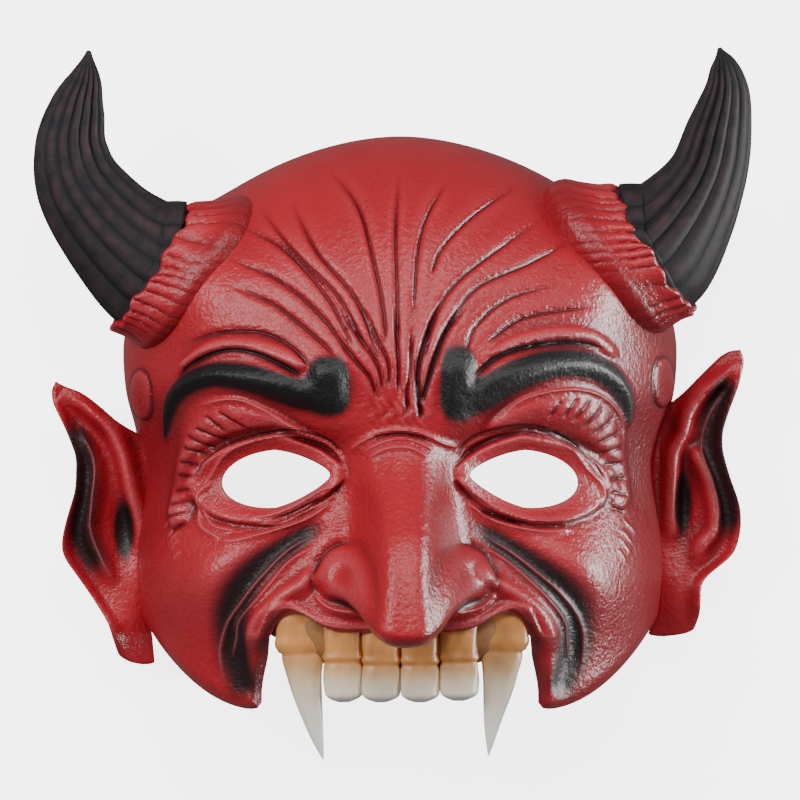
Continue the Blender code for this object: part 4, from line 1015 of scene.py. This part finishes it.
def tooth_points(line, width, point):
    """Rings down a tooth's middle line: rounded squares that bulge as a root, pinch at the neck and
    run on as a blunt crown or taper to a fang's point. Returns the rings and the share of the way."""
    flat = smooth_path(line, TOOTH_RINGS)
    share = np.linspace(0, 1, TOOTH_RINGS)
    z = plain_height(flat[0, 0], -86.0) - 2.2 - 3.0 * point * share**2
    path = np.column_stack([flat, z])
    across, up = sides_of(path)
    neck = 0.31 if point else 0.53
    pinch = 0.07 * np.exp(-(((share - neck) / 0.03) ** 2))
    bulge = 0.07 * np.exp(-(((share - neck + 0.06) / 0.04) ** 2))
    root = 1.0 - pinch + bulge
    blunt = root * (0.97 + 0.05 * np.exp(-(((share - 0.7) / 0.14) ** 2)))
    blunt = blunt * np.sqrt(np.clip(1 - soft((share - 0.86) / 0.16) ** 2, 0.02, 1))
    crown = np.clip((share - neck) / (1 - neck), 0, 1)
    sharp = root * np.where(share < neck, 1.0, 0.86 * (1 - crown) ** 0.85 + 0.012)
    size = (sharp if point else blunt)[:, None]
    turn = np.linspace(0, 2 * np.pi, TOOTH_SIDES, endpoint=False)[None, :]
    c, s = np.cos(turn), np.sin(turn)
    power = 3.0 - 1.0 * point * soft((share - neck) / 0.2)[:, None]
    square = (np.abs(c) ** power + np.abs(s) ** power) ** (-1 / power)
    lumps = 0.02 * np.sin(5 * turn + 9 * share[:, None] + width)
    lumps = lumps + 0.015 * np.sin(9 * turn - 14 * share[:, None])
    size = size * (1 + lumps)
    rings = (path[:, None] + up[:, None] * (size * c * square * TOOTH_DEPTH / 2)[..., None]
             + across[:, None] * (size * s * square * width / 2)[..., None])
    return rings, np.repeat(share[:, None], TOOTH_SIDES, axis=1) - neck


tooth_ivory, tree, shader, place = paint_material("tooth_ivory", (0.62, 0.53, 0.38), 0.42)
way = node(tree, "ShaderNodeAttribute", attribute_name="way").outputs["Fac"]
mottle = noise(tree, place, 160.0, 5.0)
crown = ramp(tree, way, -0.02, 0.22)
tip = ramp(tree, way, 0.1, 0.5)
root_hue = mix(tree, mottle, (0.84, 0.38, 0.09, 1), (0.36, 0.11, 0.04, 1))
crown_hue = mix(tree, mottle, (0.86, 0.66, 0.38, 1), (0.62, 0.44, 0.24, 1))
crown_hue = mix(tree, tip, crown_hue, (0.86, 0.82, 0.74, 1))
tree.links.new(mix(tree, crown, root_hue, crown_hue), shader.inputs["Base Color"])
tree.links.new(roughen(tree, mottle, 0.35, 0.0006), shader.inputs["Normal"])
for number, (line, width, point) in enumerate(TEETH):
    rings, along = tooth_points(line, width, point)
    points, faces = close_rings(rings)
    tooth = mesh_object("tooth_%d" % (number + 1), points, faces, tooth_ivory,
                        (("way", np.append(along.ravel(), (-0.5, 0.5))),))
    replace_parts(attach(tooth, "root"), "mask")


def gum_points():
    """Rings along the underside of the lip: ovals that swell in lumps and taper at both ends."""
    x = np.linspace(-GUM_HALF_LENGTH, GUM_HALF_LENGTH, GUM_RINGS)
    y = lip_edge(x) - 3.0 - 2.2 * soft((32 - np.abs(x)) / 8)
    path = np.stack([x, y, plain_height(x, y) - 7.5], 1)
    across, up = sides_of(path)
    turn = np.linspace(0, 2 * np.pi, GUM_SIDES, endpoint=False)[None, :]
    size = GUM_RADIUS * (0.3 + 0.7 * soft((45 - np.abs(x)) / 9)) * (1 + 0.10 * np.sin(x * 0.46 + 1.5))
    size = size[:, None]
    return (path[:, None] + up[:, None] * (size * np.cos(turn))[..., None]
            + across[:, None] * (size * 1.3 * np.sin(turn))[..., None])


gum_amber, tree, shader, place = paint_material("gum_amber", (0.40, 0.19, 0.06), 0.45)
mottle = noise(tree, place, 120.0, 5.0)
tree.links.new(mix(tree, mottle, (0.46, 0.22, 0.07, 1), (0.14, 0.05, 0.02, 1)), shader.inputs["Base Color"])
tree.links.new(roughen(tree, mottle, 0.5, 0.001), shader.inputs["Normal"])
points, faces = close_rings(gum_points())
gum = mesh_object("gum", points, faces, gum_amber)
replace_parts(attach(gum, "root"), "mask")


# The studio: a plain pale floor, a soft light and a narrow strip on the viewer's right, softer lights
# to the left and above, and the camera straight over the mask. The strip shows in the gloss alone.

LIGHTS_AIM = Vector((0, 0, 0.04))
VIEW_HALF_WIDTH, VIEW_DISTANCE = 0.144, 1.35
CAMERA_PLACE = (0.00296, 0.00085, 1.4)

floor_mesh = bpy.data.meshes.new("floor")
floor_mesh.from_pydata([(-4, -4, 0), (4, -4, 0), (4, 4, 0), (-4, 4, 0)], [], [(0, 1, 2, 3)])
floor = bpy.data.objects.new("floor", floor_mesh)
bpy.context.scene.collection.objects.link(floor)
floor_white, tree, shader, place = paint_material("floor_white", (0.95, 0.95, 0.95), 0.9)
shader.inputs["Emission Color"].default_value = (1, 1, 1, 1)
shader.inputs["Emission Strength"].default_value = 4.0
floor_mesh.materials.append(floor_white)
floor.visible_glossy = False
floor.visible_diffuse = False

for name, spot, width, height, power in (
    ("strip", (0.9, 0.0, 0.16), 0.8, 0.07, 30.0),
    ("key", (0.85, 0.05, 0.35), 0.6, 0.20, 4.0),
    ("fill", (-0.75, 0.40, 0.9), 0.45, 0.45, 12.0),
    ("top", (0.15, 0.9, 1.2), 0.6, 0.4, 12.0),
):
    lamp_data = bpy.data.lights.new(name, "AREA")
    lamp_data.shape = "RECTANGLE"
    lamp_data.size, lamp_data.size_y = width, height
    lamp_data.energy = power
    lamp = bpy.data.objects.new(name, lamp_data)
    lamp.location = spot
    lamp.rotation_mode = "QUATERNION"
    lamp.rotation_quaternion = (LIGHTS_AIM - Vector(spot)).to_track_quat("-Z", "Y")
    lamp.visible_diffuse = name != "strip"
    bpy.context.scene.collection.objects.link(lamp)

world = bpy.data.worlds.new("studio")
world.use_nodes = True
world.node_tree.nodes["Background"].inputs["Color"].default_value = (1, 1, 1, 1)
world.node_tree.nodes["Background"].inputs["Strength"].default_value = 0.22
bpy.context.scene.world = world

camera_data = bpy.data.cameras.new("camera")
camera_data.angle = 2 * np.arctan(VIEW_HALF_WIDTH / VIEW_DISTANCE)
camera = bpy.data.objects.new("camera", camera_data)
camera.location = CAMERA_PLACE
bpy.context.scene.collection.objects.link(camera)
bpy.context.scene.camera = camera
